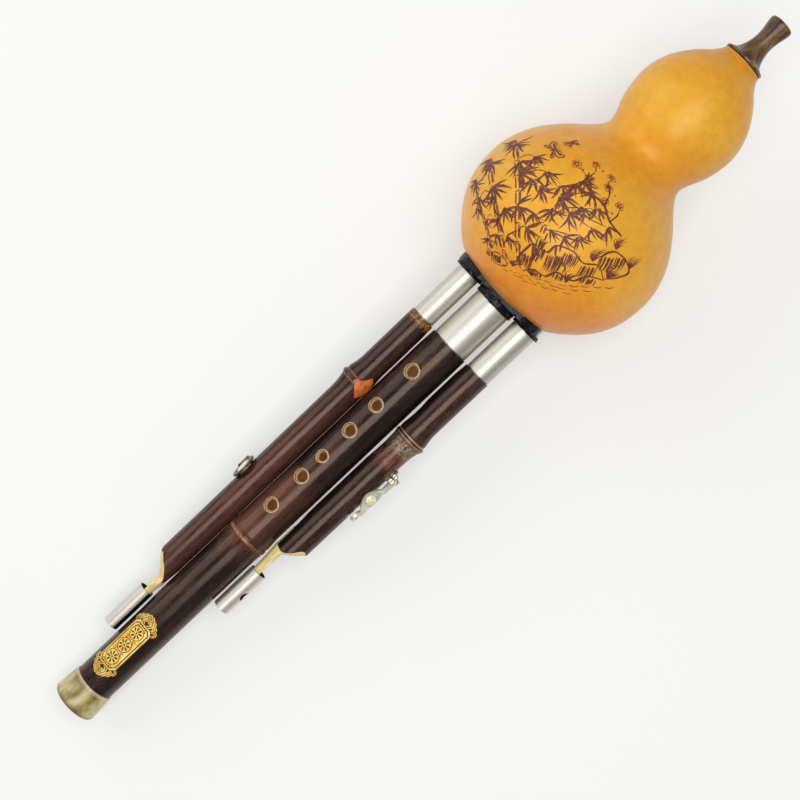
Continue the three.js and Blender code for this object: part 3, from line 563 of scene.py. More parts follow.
def ribbons(name, marks, spread):
    """Strokes laid flat and made a mesh, whose points are then spread over a curved surface."""
    path = bpy.data.curves.new(name, "CURVE")
    path.dimensions, path.twist_mode, path.extrude = "3D", "Z_UP", 0.5 * MM
    for stroke in marks:
        spline = path.splines.new("POLY")
        spline.points.add(len(stroke) - 1)
        for point, (x, y, width) in zip(spline.points, stroke):
            point.co, point.radius, point.tilt = (x * MM, y * MM, 0, 1), width, pi / 2
    drawn = meshed(name, path)
    for corner in drawn.data.vertices:
        corner.co = [c * MM for c in spread(corner.co.x / MM, corner.co.y / MM)]
    return drawn


def over_the_lobe(x, y):
    """A place on the drawing, turned as the picture stands and bent round the big lobe."""
    turn = radians(43.474)
    x, y = x * ENLARGED, y * ENLARGED
    u = DRAWING_CENTRE[0] + x * cos(turn) + y * sin(turn)
    v = DRAWING_CENTRE[1] - x * sin(turn) + y * cos(turn)
    return u, GOURD_SIDE + (LOBE + 2) * sin(v / LOBE), (LOBE + 2) * cos(v / LOBE)


# Burnt rind: charred brown, lighter where the wire moved fast, matt beside the lacquer.
char = patterned("burnt_gourd_rind", {"Scale": 0.9, "Detail": 4}, [(0.3, "#4A1C10"),
    (0.52, "#6C2F1C"), (0.75, "#8E4A28")], {"Roughness": 0.55})
# Red ink: thin and slightly patchy over the burnt outlines.
ink = patterned("red_ink", {"Scale": 1.4, "Detail": 3}, [(0.35, "#A02A22"), (0.65, "#C2412E")],
    {"Roughness": 0.5})

# The strokes sink onto the rind, a hair above it.
for name, marks, lift, finish in [("burnt_drawing", strokes, 0.05, char),
        ("red_petals", petals, 0.035, ink)]:
    drawn = set_place(ribbons(name, marks, over_the_lobe), FOOT, (0, -TILT, 0))
    changed(drawn, "SHRINKWRAP", target=gourd, wrap_method="NEAREST_SURFACEPOINT",
        wrap_mode="ABOVE_SURFACE", offset=lift * MM)
    edit()
    bpy.ops.mesh.remove_doubles(threshold=0.01 * MM)
    bpy.ops.mesh.normals_make_consistent(inside=False)
    take(drawn)
    bpy.ops.object.shade_smooth()
    give(drawn, finish)
    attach(drawn, "wind_chamber")


# Mouthpiece
# A piece of buffalo horn turned to a waisted spout with a flared lip, glued with its spigot in
# the drilled stem. The horn is nearly black, with brown and olive streaks that run along it.

horn, tree, surface = material("polished_buffalo_horn")
where = flute_coordinates(tree)
grain = add(tree, "Mapping", {"Vector": where, "Scale": (0.07, 0.2, 0.2)})
layers = add(tree, "TexNoise", {"Vector": grain, "Scale": 1, "Detail": 5, "Roughness": 0.6,
    "Distortion": 0.6})
fibres = add(tree, "Mapping", {"Vector": where, "Scale": (0.12, 2.2, 2.2)})
streaks = add(tree, "TexNoise", {"Vector": fibres, "Scale": 1, "Detail": 3})
body_tone = add(tree, "ValToRGB", {"Fac": layers}, [(0.34, "#241A12"), (0.44, "#3C2A1B"),
    (0.52, "#604026"), (0.6, "#6E5E36"), (0.7, "#8E7C4C")])
light_line = add(tree, "MapRange", {"Value": streaks, "From Min": 0.52, "From Max": 0.75,
    "To Max": 0.16})
tone = add(tree, "Mix", {0: light_line, 6: body_tone, 7: "#9A8A62"}, data_type="RGBA")
add(tree, surface, {"Base Color": tone, "Roughness": 0.28, "Specular IOR Level": 0.4,
    "Subsurface Weight": 0.04, "Subsurface Scale": 0.002})

LIP, SPOUT = RIM + 0.3, 22.2
spout = [(LIP + a * SPOUT, r * 9.8) for a, r in [(0.015, 0.985), (0.045, 0.99), (0.06, 0.93),
    (0.09, 0.8), (0.13, 0.69), (0.22, 0.575), (0.33, 0.495), (0.46, 0.44), (0.58, 0.435),
    (0.7, 0.465), (0.82, 0.52), (0.9, 0.548), (0.95, 0.553), (0.985, 0.52), (0.998, 0.46)]]
mouthpiece = turned("horn_mouthpiece", [(LIP - 8, 2.6), (LIP - 8, 4.9), (LIP - 7.8, 5.1),
    (LIP, 5.1), (LIP, 9.55)] + eased(spout, 0.5) + [(LIP + SPOUT, 4.2), (LIP + 22, 3.3),
    (LIP + 21, 2.7), (LIP + 18, 2.6), (LIP - 8, 2.6)], 72, (GOURD_SIDE, 0), horn)
fit(mouthpiece, "wind_chamber", ["mouthpiece"])


# Seal
# Black mastic is pressed into the gourd's mouth round the sockets and smoothed with a wet
# finger, and a soft black ring is pushed down each socket against it to keep the air in.

mastic = patterned("black_sealing_mastic", {"Scale": 0.5, "Detail": 4}, None,
    {"Base Color": "#08090C", "Specular IOR Level": 0.24}, dull=(0.35, 0.7, 0.1, 0.32),
    bump=(0.6, 0.0008))

# How far the axes of the drones lie beside the melody pipe's.
LEFT, RIGHT = 16.5, -17
# Each socket: its side, its radius, where its ring of mastic begins and the ring's radius.
SOCKETS = [("main", 0, 8.95, 252.9, 10), ("left", LEFT, 5.4, 254.6, 7.7),
    ("right", RIGHT, 6, 254.9, 7.4)]


def rod(name, start, end, radius, sides, at=(0, 0), finish=None):
    """A plain solid rod, to bore with."""
    return turned(name, [(start, 0.02), (start, radius), (end, radius), (end, 0.02)], sides, at,
        finish)


seal = rounded_slot("mastic_seal", 256.2, 267, 23.9, 13.7, GOURD_SIDE / 2)
give(seal, mastic)
edit()
for cut in (256.8, 258.5, 260.5, 263):
    slice_at((cut, 0, 0), (1, 0, 0))
for cut in range(-21, 24, 3):
    slice_at((0, cut, 0), (0, 1, 0))
lumpy(close_up(seal), 2, 1.1)
for name, offset, radius, start, ring in SOCKETS:
    cut_away(seal, rod("seal_bore", 250, 272, radius + 0.3, 64, (offset, 0), mastic))
fit(seal, "wind_chamber", ["seal_plug"])

for name, offset, radius, start, ring in SOCKETS:
    hole = radius + 0.3
    lips = turned(name + "_mastic_ring", [(start + 0.3, hole), (start, hole + 0.3),
        (start + 0.05, (hole + ring) / 2), (start + 0.35, ring - 0.2), (start + 0.65, ring),
        ((start + 255.9) / 2, ring - 0.12), (255.4, ring), (256, ring - 0.1), (257.2, ring - 0.2),
        (257.2, hole), (start + 0.3, hole)], 72, (offset, 0), mastic)
    lumpy(lips, 1.8, 0.6)
    if offset:
        cut_away(lips, rod("beside", 250, 258, 10.3, 72, finish=mastic))
    fit(lips, "wind_chamber", [name + "_seal_collar"])


# Silver sockets
# Three lengths of drawn nickel silver tube hold the pipes and pass through the seal. They are
# rubbed lengthwise to a satin, so light runs along them in soft stripes.

def rubbed(name, dark, pale, metallic=1, shiny=0.44, matt=0.52):
    """Nickel silver rubbed along the flute, in fine lines of 0.2 mm between two tones."""
    return patterned(name, {"Scale": 1, "Detail": 3}, [(0.3, dark), (0.7, pale)],
        {"Metallic": metallic}, (0.05, 5, 5), (0.3, 0.7, shiny, matt), (0.06, 0.0001))


satin = rubbed("satin_nickel_silver", "#C0BBB0", "#D8D4CA")
for name, offset, radius, start, ring in SOCKETS:
    wall = radius - 0.6
    socket = turned(name + "_silver_socket", [(228.45, wall), (228.3, wall + 0.15),
        (228.3, radius - 0.2), (228.5, radius), (240, radius), (269.8, radius),
        (270, radius - 0.2), (270, wall), (228.45, wall)], 96, (offset, 0), satin)
    fit(socket, "wind_chamber", [name + "_socket"])


# Reeds
# Inside the gourd each socket carries a thin bamboo tube with a brass reed tied over its window.
# Nothing of them shows from outside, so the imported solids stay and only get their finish.

def scraped(name, *tones):
    """Scraped bamboo: pale fibres half a millimetre wide."""
    return patterned(name, {"Scale": 1, "Detail": 4}, zip((0.3, 0.55, 0.75), tones),
        {"Roughness": 0.55}, (0.04, 2, 2))


plain_bamboo = scraped("plain_scraped_bamboo", "#A8793F", "#C79A5A", "#DDB878")
rolled_brass = patterned("rolled_brass_sheet", {"Scale": 1}, [(0.3, "#B98A3E"), (0.7, "#DDB560")],
    {"Metallic": 1, "Roughness": 0.28}, (0.1, 6, 6))
for name in ("main", "left", "right"):
    for kind, finish in (("reed_tube", plain_bamboo), ("reed", rolled_brass), ("tenon", satin)):
        solid = bpy.data.objects[name + "_" + kind]
        solid.data.materials.clear()
        solid.data.materials.append(finish)


# Melody pipe
# The middle pipe is purple bamboo, oiled nearly black, with one node. It is bored through, six
# finger holes are drilled in front and one behind, and each hole's edge is cut back and gilded.

def bamboo(name, axis, tones, patches, flank_shade):
    """Oiled purple bamboo: dark skin with fibre lines, specks and a copper scar at the node."""
    made, tree, surface = material(name)
    where = flute_coordinates(tree)
    own = add(tree, "Mapping", {"Vector": where, "Location": (0, -axis, 0)})
    spot = add(tree, "SeparateXYZ", {"Vector": own})
    # Fibres are some 0.2 mm wide and tens of mm long; stains are hand-wide, blotches thumb-wide.
    grains = []
    for scale, detail, rough in [((0.09, 3.4, 3.4), 6, 0.7), ((0.03, 0.14, 0.14), 3, 0.55),
            ((0.22, 0.6, 0.6), 7, 0.75), ((1.3, 0.9, 0.9), 5, 0.7)]:
        place = add(tree, "Mapping", {"Vector": where, "Scale": scale})
        grains.append(add(tree, "TexNoise", {"Vector": place, "Scale": 1, "Detail": detail,
            "Roughness": rough}))
    lines, stains, mottle, crumb = grains
    coarse = add(tree, "Mix", {0: 0.5, 2: stains, 3: mottle})
    both = add(tree, "Mix", {0: 0.3, 2: coarse, 3: lines})
    skin = add(tree, "ValToRGB", {"Fac": both}, zip((0.41, 0.5, 0.59), tones))
    place = add(tree, "Mapping", {"Vector": where, "Scale": (0.7, 1.5, 1.5)})
    specks = add(tree, "TexVoronoi", {"Vector": place, "Scale": 1}, feature="F1")
    freckle = add(tree, "MapRange", {"Value": specks, "From Min": 0.2, "From Max": 0.08})
    few = add(tree, "MapRange", {"Value": coarse, "From Min": 0.43, "From Max": 0.58,
        "To Max": 0.9})
    thin = add(tree, "Math", {0: freckle, 1: few}, operation="MULTIPLY")
    colour = add(tree, "Mix", {0: thin, 6: skin, 7: "#9A6E5C"}, data_type="RGBA")
    wobble = add(tree, "Math", {0: mottle, 1: 9, 2: -4.5}, operation="MULTIPLY_ADD")
    bent = add(tree, "Math", {0: spot.outputs["X"], 1: wobble}, operation="ADD")
    for centre, half, edge, tint, amount, broken in patches:
        # A narrow ring keeps its place; only a wide patch has a wandering edge.
        place = spot.outputs["X"] if half < 0.6 else bent
        off = add(tree, "Math", {0: place, 1: centre}, operation="SUBTRACT")
        span = add(tree, "Math", {0: off}, operation="ABSOLUTE")
        band = add(tree, "MapRange", {"Value": span, "From Min": half + edge, "From Max": half,
            "To Max": amount})
        grain = add(tree, "Mix", {0: 0.85 if edge > 2 else 0.35, 2: crumb, 3: lines})
        worn = add(tree, "MapRange", {"Value": grain, "From Min": broken - 0.06,
            "From Max": broken + 0.06})
        strength = add(tree, "Math", {0: band, 1: worn}, operation="MULTIPLY")
        colour = add(tree, "Mix", {0: strength, 6: colour, 7: tint}, data_type="RGBA")
    # Painted shade: one flank is darkened toward near black: where that begins, where it is full,
    # how much.
    flank = add(tree, "MapRange", {"Value": spot.outputs["Y"], "From Min": flank_shade[0],
        "From Max": flank_shade[1], "To Max": flank_shade[2]})
    colour = add(tree, "Mix", {0: flank, 6: colour, 7: "#0B0605"}, data_type="RGBA")
    shine = add(tree, "MapRange", {"Value": mottle, "From Min": 0.35, "From Max": 0.65,
        "To Min": 0.13, "To Max": 0.25})
    ridges = add(tree, "Bump", {"Height": both, "Strength": 0.5, "Distance": 0.00008})
    add(tree, surface, {"Base Color": colour, "Roughness": shine, "Normal": ridges,
        "Specular Tint": "#F2D8CA"})
    return made


def pipe_outside(start, radius, node_at, swell):
    """Outline of a bamboo: the scar's sharp ridge, a groove, then the rounded swelling."""
    node = [(node_at + dx, radius + swell * dr) for dx, dr in [(-9, 0), (-6, 0.1), (-3.5, 0.28),
        (-1.8, 0.5), (-1, 0.62), (-0.7, 0.95), (0, 1), (0.6, 0.9), (0.9, 0.48), (1.5, 0.4),
        (2.4, 0.6), (3.4, 0.62), (5, 0.38), (7, 0.12), (9, 0)]]
    plain = [*range(int(start) + 4, int(node_at) - 11, 5)], [*range(int(node_at) + 13, 224, 5)]
    return ([(x, radius) for x in [start] + plain[0]] + eased(node, 0.6)
        + [(x, radius) for x in plain[1] + [PIPE_END - 0.2]])


def inner_wall(piece, finish, side, reach, start=-1000, end=1000):
    """Gives a finish to the faces nearer to an axis than reach, between two stations."""
    number = give(piece, finish)
    for face in piece.data.polygons:
        x, y, z = [c / MM for c in face.center]
        if start < x < end and hypot(y - side, z) < reach:
            face.material_index = number


# Where the pipes end, and where the wider room for the tenon begins.
PIPE_END, TENON_AT = 228, 218.5
MELODY_RADIUS = 9.45
# Painted light: the bore is painted paler than bamboo's inside, to stand in for light in the deep
# bore.
bore_painted_light = scraped("bamboo_bore_painted_light", "#D89A5C", "#EDB87C", "#F6CF9C")
# The cut back edge of a hole is scorched by the hot iron that widens it.
scorched_edge = scraped("scorched_hole_edge", "#5A3820", "#7A5230", "#94683E")
dark_bamboo = bamboo("oiled_purple_bamboo", 0, ("#120B0A", "#271814", "#4A2C22"),
    [(122, 14, 14, "#6E4230", 0.65, 0.46), (106.4, 1.2, 1, "#5E3A28", 0.7, 0.5),
    (107.7, 0.55, 0.3, "#8A5432", 0.85, 0.4), (108.1, 0.5, 0.3, "#B98A5C", 0.8, 0.52)],
    (1, -7, 0.6))
melody_pipe = turned("melody_pipe", [(5.6, 7), (5.4, 7.2), (5.4, 8.2), (5.6, 8.4), (13.4, 8.4),
    (13.4, 9.25)] + pipe_outside(13.6, MELODY_RADIUS, 107.8, 0.65) + [(PIPE_END, 9.25),
    (PIPE_END, 8.35), (TENON_AT, 8.35), (TENON_AT, 7), (150, 7), (80, 7), (5.6, 7)], 112,
    finish=dark_bamboo)
# Bamboo isn't quite round: this one is fuller toward the left drone, and its node is rubbed
# flat there.
for corner in melody_pipe.data.vertices:
    x, y, z = [c / MM for c in corner.co]
    fuller = min((x - 53) / 10, (226 - x) / 4)
    if y > 0 and hypot(y, z) > 9:
        corner.co.y += 0.34 * min(1, max(0, fuller)) * (y / MELODY_RADIUS) ** 2 * MM
        corner.co.y = min(corner.co.y, 9.8 * MM)
inner_wall(melody_pipe, bore_painted_light, 0, 8)

# The finger holes: how far from the foot, and their radius; the thumb hole is behind.
HOLES = [(209.7, 2.8), (188.8, 2.6), (173.2, 2.7), (157.1, 2.25), (144.7, 2.7), (126.7, 2.7)]
HOLES = [(at, radius, radians(-20)) for at, radius in HOLES] + [(213.6, 2.6, pi)]


def drill(at, radius, turn, axis, reach, flare, finish, depth=0.9):
    """A drill bit that points out of a pipe, wider where it leaves the skin."""
    bit = started("bit", bpy.ops.mesh.primitive_circle_add, vertices=40, radius=radius * MM,
        fill_type="NGON", location=(at * MM, 0, 0))
    bpy.ops.object.transform_apply()
    edit()
    for rise, wider in ((reach - depth, 1), (depth, 1 + flare / radius), (3, 1)):
        bpy.ops.mesh.extrude_region_move(TRANSFORM_OT_translate={"value": (0, 0, rise * MM)})
        bpy.ops.transform.resize(value=(wider, wider, 1), center_override=(at * MM, 0, 0))
    close_up(bit, finish=finish)
    scorched = give(bit, scorched_edge)
    for face in bit.data.polygons:
        if flare > 0.2 and face.center.z > (reach - depth) * MM:
            face.material_index = scorched
    return set_place(bit, (0, axis, 0), (turn, 0, 0))


for at, radius, turn in HOLES:
    cut_away(melody_pipe, drill(at, radius, turn, 0, 9.3, 0.35, bore_painted_light))
fit(melody_pipe, "melody_pipe", ["main_pipe"], 30)

# Gilt size on the cut edge of a hole: thin, a little uneven, half matt. It is two fine lines
# that follow the pipe's curve, one on the skin and one inside the edge.
gilt = patterned("gilded_hole_edge", {"Scale": 1.1, "Detail": 3},
    [(0.32, "#CE9C5C"), (0.6, "#F6DCAC")], {"Metallic": 0.25, "Roughness": 0.4})
for number, (at, radius, turn) in enumerate(HOLES):
    name = "hole_edge_%d" % (number + 1) if turn < 0 else "thumb_hole_edge"
    for ring, wire, drop in ((radius + 0.62, 0.17, 0.03), (radius + 0.04, 0.13, 0.6)):
        line = started(name, bpy.ops.mesh.primitive_torus_add, major_radius=ring * MM,
            minor_radius=wire * MM, major_segments=56, minor_segments=8, location=(at * MM, 0, 0))
        bpy.ops.object.transform_apply()
        for corner in line.data.vertices:
            corner.co.z += sqrt((MELODY_RADIUS * MM) ** 2 - corner.co.y ** 2) - drop * MM
        give(line, gilt)
        fit(set_place(line, turn=(turn, 0, 0)), "melody_pipe")


# Foot ring
# A ring of pale ox horn is turned and pushed on the spigot at the pipe's foot. It is cloudy and
# lets a little light in, olive at the edges and ivory in the middle.

ox_horn, tree, surface = material("pale_ox_horn")
where = flute_coordinates(tree)
mixed = add(tree, "Mapping", {"Vector": where, "Scale": (0.11, 0.13, 0.13)})
cloud = add(tree, "TexNoise", {"Vector": mixed, "Scale": 1, "Detail": 3, "Roughness": 0.5,
    "Distortion": 0.4})
colour = add(tree, "ValToRGB", {"Fac": cloud}, [(0.32, "#6F5C34"), (0.43, "#93804A"),
    (0.52, "#B3A068"), (0.62, "#C9B983"), (0.74, "#A08A52")])
spot = add(tree, "SeparateXYZ", {"Vector": where})
for start, end, tint, amount in [(2.2, 0.2, "#5E4A28", 0.7), (11.2, 13, "#DCC3A6", 0.65)]:
    edge = add(tree, "MapRange", {"Value": spot.outputs["X"], "From Min": start, "From Max": end,
        "To Max": amount})
    colour = add(tree, "Mix", {0: edge, 6: colour, 7: tint}, data_type="RGBA")
add(tree, surface, {"Base Color": colour, "Roughness": 0.3, "Subsurface Weight": 0.15,
    "Subsurface Scale": 0.003, "Coat Weight": 0.35, "Coat Roughness": 0.15})

foot_ring = turned("horn_foot_ring", [(0.3, 7), (0, 7.3), (0, 10.2), (0.12, 10.55), (0.5, 10.77),
    (1.2, 10.72), (6, 10.36), (12.4, 9.9), (12.9, 9.8), (13.1, 9.6), (13.1, 8.7), (5.1, 8.7),
    (5.1, 7), (0.3, 7)], 112, finish=ox_horn)
fit(foot_ring, "melody_pipe", ["foot_ring"])


# Gilt label
# A thin gilt foil with dark outlines is glued near the foot, in line with the finger holes: a
# panel with three round flowers, between two ends of curled cloud scrolls.

LABEL_AT, LABEL_TURN = 37.3, radians(18)

foil, tree, surface = material("gilt_foil")
where = flute_coordinates(tree)
crinkle = add(tree, "TexNoise", {"Vector": where, "Scale": 2.6, "Detail": 4})
cloudy = add(tree, "TexNoise", {"Vector": where, "Scale": 0.35, "Detail": 2})
tone = add(tree, "ValToRGB", {"Fac": cloudy}, [(0.35, "#E9B348"), (0.55, "#F5CE5E"),
    (0.7, "#FBE28A")])
rough = add(tree, "Bump", {"Height": crinkle, "Strength": 0.5, "Distance": 0.0001})
add(tree, surface, {"Base Color": tone, "Normal": rough, "Metallic": 0.2, "Roughness": 0.42})

label_ink = patterned("dark_label_ink", {"Scale": 1.8, "Detail": 3},
    [(0.35, "#2A150C"), (0.7, "#4A2812")], {"Roughness": 0.5})


def on_melody_pipe(height):
    """Spreads a flat place over the pipe near its foot, at a height above its skin."""
    def spread(x, y):
        turn = LABEL_TURN + y / 9.5
        reach = MELODY_RADIUS + height
        return LABEL_AT + x, reach * sin(turn), reach * cos(turn)
    return spread


panel = started("gilt_label_panel", bpy.ops.mesh.primitive_grid_add, x_subdivisions=52,
    y_subdivisions=24, size=1)
panel.scale = (25.6 * MM, 11.2 * MM, 1)
bpy.ops.object.transform_apply()
edit("DESELECT")
bpy.ops.object.mode_set(mode="OBJECT")
for face in panel.data.polygons:
    x, y = abs(face.center.x) / MM, abs(face.center.y) / MM
    face.select = (12.8 - x) + (5.6 - y) < 2
bpy.ops.object.mode_set(mode="EDIT")
bpy.ops.mesh.delete(type="FACE")
bpy.ops.object.mode_set(mode="OBJECT")
for corner in panel.data.vertices:
    corner.co = [c * MM for c in on_melody_pipe(0.06)(corner.co.x / MM, corner.co.y / MM)]
changed(panel, "SOLIDIFY", thickness=0.09 * MM)
give(panel, foil)
fit(panel, "melody_pipe")

frame_lines, fret, scroll_backs, scrolls = [], [], [], []


def border(a, b, c, width):
    """A frame line of half length a and half width b, with corners cut by c."""
    ring = [(-a + c, -b), (a - c, -b), (a, -b + c), (a, b - c), (a - c, b), (-a + c, b),
        (-a, b - c), (-a, -b + c), (-a + c, -b)]
    for start, end in zip(ring, ring[1:]):
        brush([start, ((start[0] + end[0]) / 2, (start[1] + end[1]) / 2), end], width, (1, 1),
            frame_lines)


border(12.75, 5.55, 2, 0.3)
border(11.7, 4.5, 1.7, 0.5)
# In the panel: three flowers of eight petals, each in a ring, and a sprig above and below.
for x in (-7.5, 0, 7.5):
    rays = [k * pi / 8 for k in range(17)]
    brush([(x + 3.35 * cos(a), 3.35 * sin(a)) for a in rays], 0.36, (1, 1), fret)
    for a in rays[1:16:2]:
        brush([(x + reach * cos(a), reach * sin(a)) for reach in (0.8, 1.8, 2.75)], 0.85,
            (0.25, 0.6), fret)
    brush([(x - 0.4, 0), (x, 0), (x + 0.4, 0)], 0.8, (0.7, 0.7), fret)
for x in (-11.1, -3.75, 3.75, 11.1):
    for y in (-1, 1):
        brush([(x - 0.15, y * 1.4), (x + 0.5, y * 2.3), (x + 0.1, y * 3.3)], 0.42, (0.4, 0.2),
            fret)
        brush([(x - 0.1, y * 1.8), (x - 0.8, y * 2.4), (x - 1, y * 3.2)], 0.4, (0.4, 0.2), fret)
for side in (-1, 1):
    for key in (-1, 1):
        for curl in [[(12.5, 0.6), (13.6, 2.2), (15, 2.5), (15.9, 1.6), (15.5, 0.7), (14.7, 0.8),
                (14.6, 1.5), (15.1, 1.7)], [(12.4, 3.6), (13.4, 4.9), (14.8, 4.9), (15.2, 4),
                (14.5, 3.5), (13.9, 4), (14.3, 4.4)], [(11, 5.6), (12, 6.5), (13.2, 6.2),
                (13.3, 5.5), (12.6, 5.4)], [(15.9, 1.7), (17, 1.5), (17.5, 0.6), (16.9, 0.1),
                (16.3, 0.5)], [(15.2, 3.2), (16.4, 3), (16.7, 2.2)]]:
            placed = [(side * x, key * y) for x, y in curl]
            brush(placed, 1.25, (0.8, 0.6), scroll_backs)
            brush(placed, 0.34, (0.8, 0.5), scrolls)

for name, marks, height, finish in [("label_scroll_backs", scroll_backs, 0.05, foil),
        ("label_scrolls", scrolls, 0.1, label_ink),
        ("label_frame_lines", frame_lines, 0.1, label_ink),
        ("label_fret", fret, 0.1, label_ink)]:
    printed = close_up(ribbons(name, marks, on_melody_pipe(height)), finish=finish)
    fit(printed, "melody_pipe")


# Drones
# A thinner bamboo pipe stands on each side of the melody pipe. Its lower end is cut slantwise
# like a pen, and the pale wood of the last node is whittled to a tongue for the tuning tube.

TONGUE = 13.9
cream = patterned("fresh_cut_bamboo", {"Scale": 1, "Detail": 4}, [(0.3, "#C9A868"),
    (0.5, "#E6CF8E"), (0.72, "#F0E0AA")], {"Roughness": 0.55}, (0.05, 1.8, 1.8))


def drone(name, offset, radius, bore, counterbore, node_at, swell, inner, outer, bare, slant,
        front, inward, full, skin):
    """A drone: turned bamboo joined to its tongue, then cut slantwise with a hollow curve."""
    side = 1 if offset > 0 else -1
    pipe = turned(name, [(inner, bore), (inner, radius - 0.4)]
        + pipe_outside(inner + 0.4, radius, node_at, swell) + [(PIPE_END, radius - 0.2),
        (PIPE_END, counterbore), (TENON_AT, counterbore), (TENON_AT, bore), (170, bore),
        (outer + 6, bore), (inner, bore)], 88, (offset, 0), skin)
    inner_wall(pipe, bore_painted_light, offset, bore + 0.4)
    inner_wall(pipe, cream, offset, bore + 0.4, inner - 1, outer + 6)
    # The node stands out more on the flank away from the melody pipe. Toward the melody pipe the
    # drones are fuller, less so where its node passes them.
    for corner in pipe.data.vertices:
        x, y = corner.co.x / MM, corner.co.y / MM - offset
        bulge = abs(x - node_at)
        if bulge < 9 and y * side > 0:
            corner.co.y += side * 0.85 * (1 - bulge / 9) ** 2 * (abs(y) / radius) ** 1.5 * MM
        if y * side < 0 and hypot(y, corner.co.z / MM) > radius - 0.6:
            corner.co.y -= side * inward * min(1, max(0, full(x))) * (y / radius) ** 2 * MM
            corner.co.y = side * max(side * corner.co.y, 9.84 * MM)
    # The pale wood of the node is solid and runs out into the tongue.
    start = inner - bare - 9
    tongue = turned(name + "_tongue", [(start, 0.02), (start, 2.5), (start + 0.3, 2.65),
        (inner - bare, 2.68)] + eased([(inner - bare + 0.8, 2.68), (inner - bare / 2, 3),
        (inner - 1, 3.35), (inner + 2, 3.3), (outer + 4, 3.3)], 1) + [(outer + 4, 0.02)], 56,
        (side * TONGUE, 0), cream)
    for corner in tongue.data.vertices:
        flare = min(1, max(0, (corner.co.x / MM - inner + bare - 0.8) / (bare - 1)))
        near = side * (TONGUE - 2.68)
        corner.co.y += (corner.co.y - near * MM) * 0.38 * flare
        corner.co.z *= 1 + 0.3 * flare
    cut_away(pipe, tongue, "UNION")
    # The knife goes in at the outer flank and leaves along the tongue, which keeps half its width;
    # a second pass, facing half up, opens the slope to the front.
    for angle, entry, path in ((0, -1.9, slant), (radians(45), 1, front)):
        path = eased([(start - 1, entry), (inner - 8, entry)] + path, 0.7)
        path = path + [(path[-1][0] + 0.6, radius + 5), (start - 1, radius + 5)]
        knife = sawn("knife", [(x, side * across) for x, across in path], -15, 15, cream)
        cut_away(pipe, set_place(knife, (0, offset, 0), (side * angle, 0, 0)))
    return pipe


def seat(pipe, at, flank, level, half_length, hole):
    """A flat filed on the pipe under a pad, with a round hole drilled in its middle."""
    offset, turn = flank
    file = started("file", bpy.ops.mesh.primitive_cube_add, size=1,
        location=(at * MM, 0, (level + 2) * MM))
    file.scale = (half_length * 2 * MM, 14 * MM, 4 * MM)
    bpy.ops.object.transform_apply()
    edit("DESELECT")
    bpy.ops.object.mode_set(mode="OBJECT")
    for edge in file.data.edges:
        a, b = [file.data.vertices[v].co for v in edge.vertices]
        edge.select = max(a.z, b.z) < (level + 0.1) * MM and abs(a.x - b.x) < MM
    bpy.ops.object.mode_set(mode="EDIT")
    bpy.ops.mesh.bevel(offset=0.3 * MM, segments=3, affect="EDGES")
    close_up(file, finish=pipe.data.materials[0])
    cut_away(pipe, set_place(file, (0, offset, 0), (turn, 0, 0)))
    cut_away(pipe, drill(at, hole, turn, offset, level, 0.15, pipe.data.materials[0], 0.3))


# Each drone's side hole: how far from the foot, and the flank of the pipe that it is on.
COVER_AT, COVER_FLANK = 127.9, (LEFT, radians(-78))
KEY_AT, KEY_FLANK = 170.6, (RIGHT, radians(78))
PAD_AT = KEY_AT - 22.2
LEFT_NODE = 188.9

# The dark patch 15 mm either side of 209 mm on the left drone is painted shade, between the node
# and the socket.
left_skin = bamboo("oiled_purple_bamboo_left", LEFT, ("#170E0D", "#311D18", "#573329"),
    [(110, 50, 30, "#5E362B", 0.6, 0.46), (189.3, 1.2, 0.5, "#4E3024", 0.7, 0.42),
    (209, 15, 4, "#1A1312", 0.6, 0.4), (187.9, 0.2, 0.12, "#9A7052", 0.7, 0.44),
    (190.6, 0.2, 0.12, "#9A7052", 0.7, 0.44), (226.6, 1.4, 1, "#C0843F", 0.85, 0.52)],
    (1, 5, 0.25))
left_drone = drone("left_drone", LEFT, 5.95, 3.9, 4.8, LEFT_NODE, 0.75, 66, 76.5, 7, [(65, -1.8),
    (67.4, -1.3), (70, 0.2), (72.4, 2.1), (74.6, 3.8), (76.6, 5.2), (78.2, 6.2)], [(65.6, -0.6),
    (67.4, -0.9), (70.9, 1.7), (73, 3.4), (74.6, 4.9), (76.2, 5.8), (79, 6.3)], 0.7,
    lambda x: min((x - 68) / 4, max(0.45, (193 - x) / 5), (226 - x) / 3), left_skin)
seat(left_drone, COVER_AT, COVER_FLANK, 5.45, 3.4, 1.5)
fit(left_drone, "left_drone", ["left_drone_pipe"], 30)

right_skin = bamboo("oiled_purple_bamboo_right", RIGHT, ("#140D0C", "#281814", "#482C24"),
    [(178, 4.5, 3, "#7A3626", 0.75, 0.5), (178.8, 4, 2.5, "#B98C68", 0.8, 0.57),
    (183.8, 2.4, 1.8, "#5E5244", 0.8, 0.42), (183.6, 2.6, 1.5, "#8F8468", 0.85, 0.52),
    (184.2, 2.2, 1, "#B8AC8E", 0.8, 0.58), (187, 0.4, 0.2, "#6E4A38", 0.85, 0.36),
    (189.3, 0.28, 0.15, "#B08A70", 0.8, 0.4), (187.9, 0.2, 0.12, "#B08A70", 0.75, 0.42),
    (225, 2.5, 2, "#4A332C", 0.5, 0.48)], (1, 5, 0.5))
right_drone = drone("right_drone", RIGHT, 6.42, 4.4, 5.4, 188, 0.73, 115, 121.5, 14.6,
    [(111.5, -1.7), (114.3, -0.7), (117.6, 2.6), (120.6, 5.7), (121.8, 7.1)], [(113.6, 1.2),
    (115.2, 2.4), (116.2, 3.9), (118, 5.2), (120.4, 6), (123, 6.7)], 0.4,
    lambda x: max(min((x - 68) / 4, (87 - x) / 6), min((x - 129) / 6, (176 - x) / 6),
    min((x - 201) / 5, (226 - x) / 3)), right_skin)
seat(right_drone, PAD_AT, KEY_FLANK, 6.07, 3.1, 1.5)
fit(right_drone, "right_drone", ["right_drone_pipe"], 30)

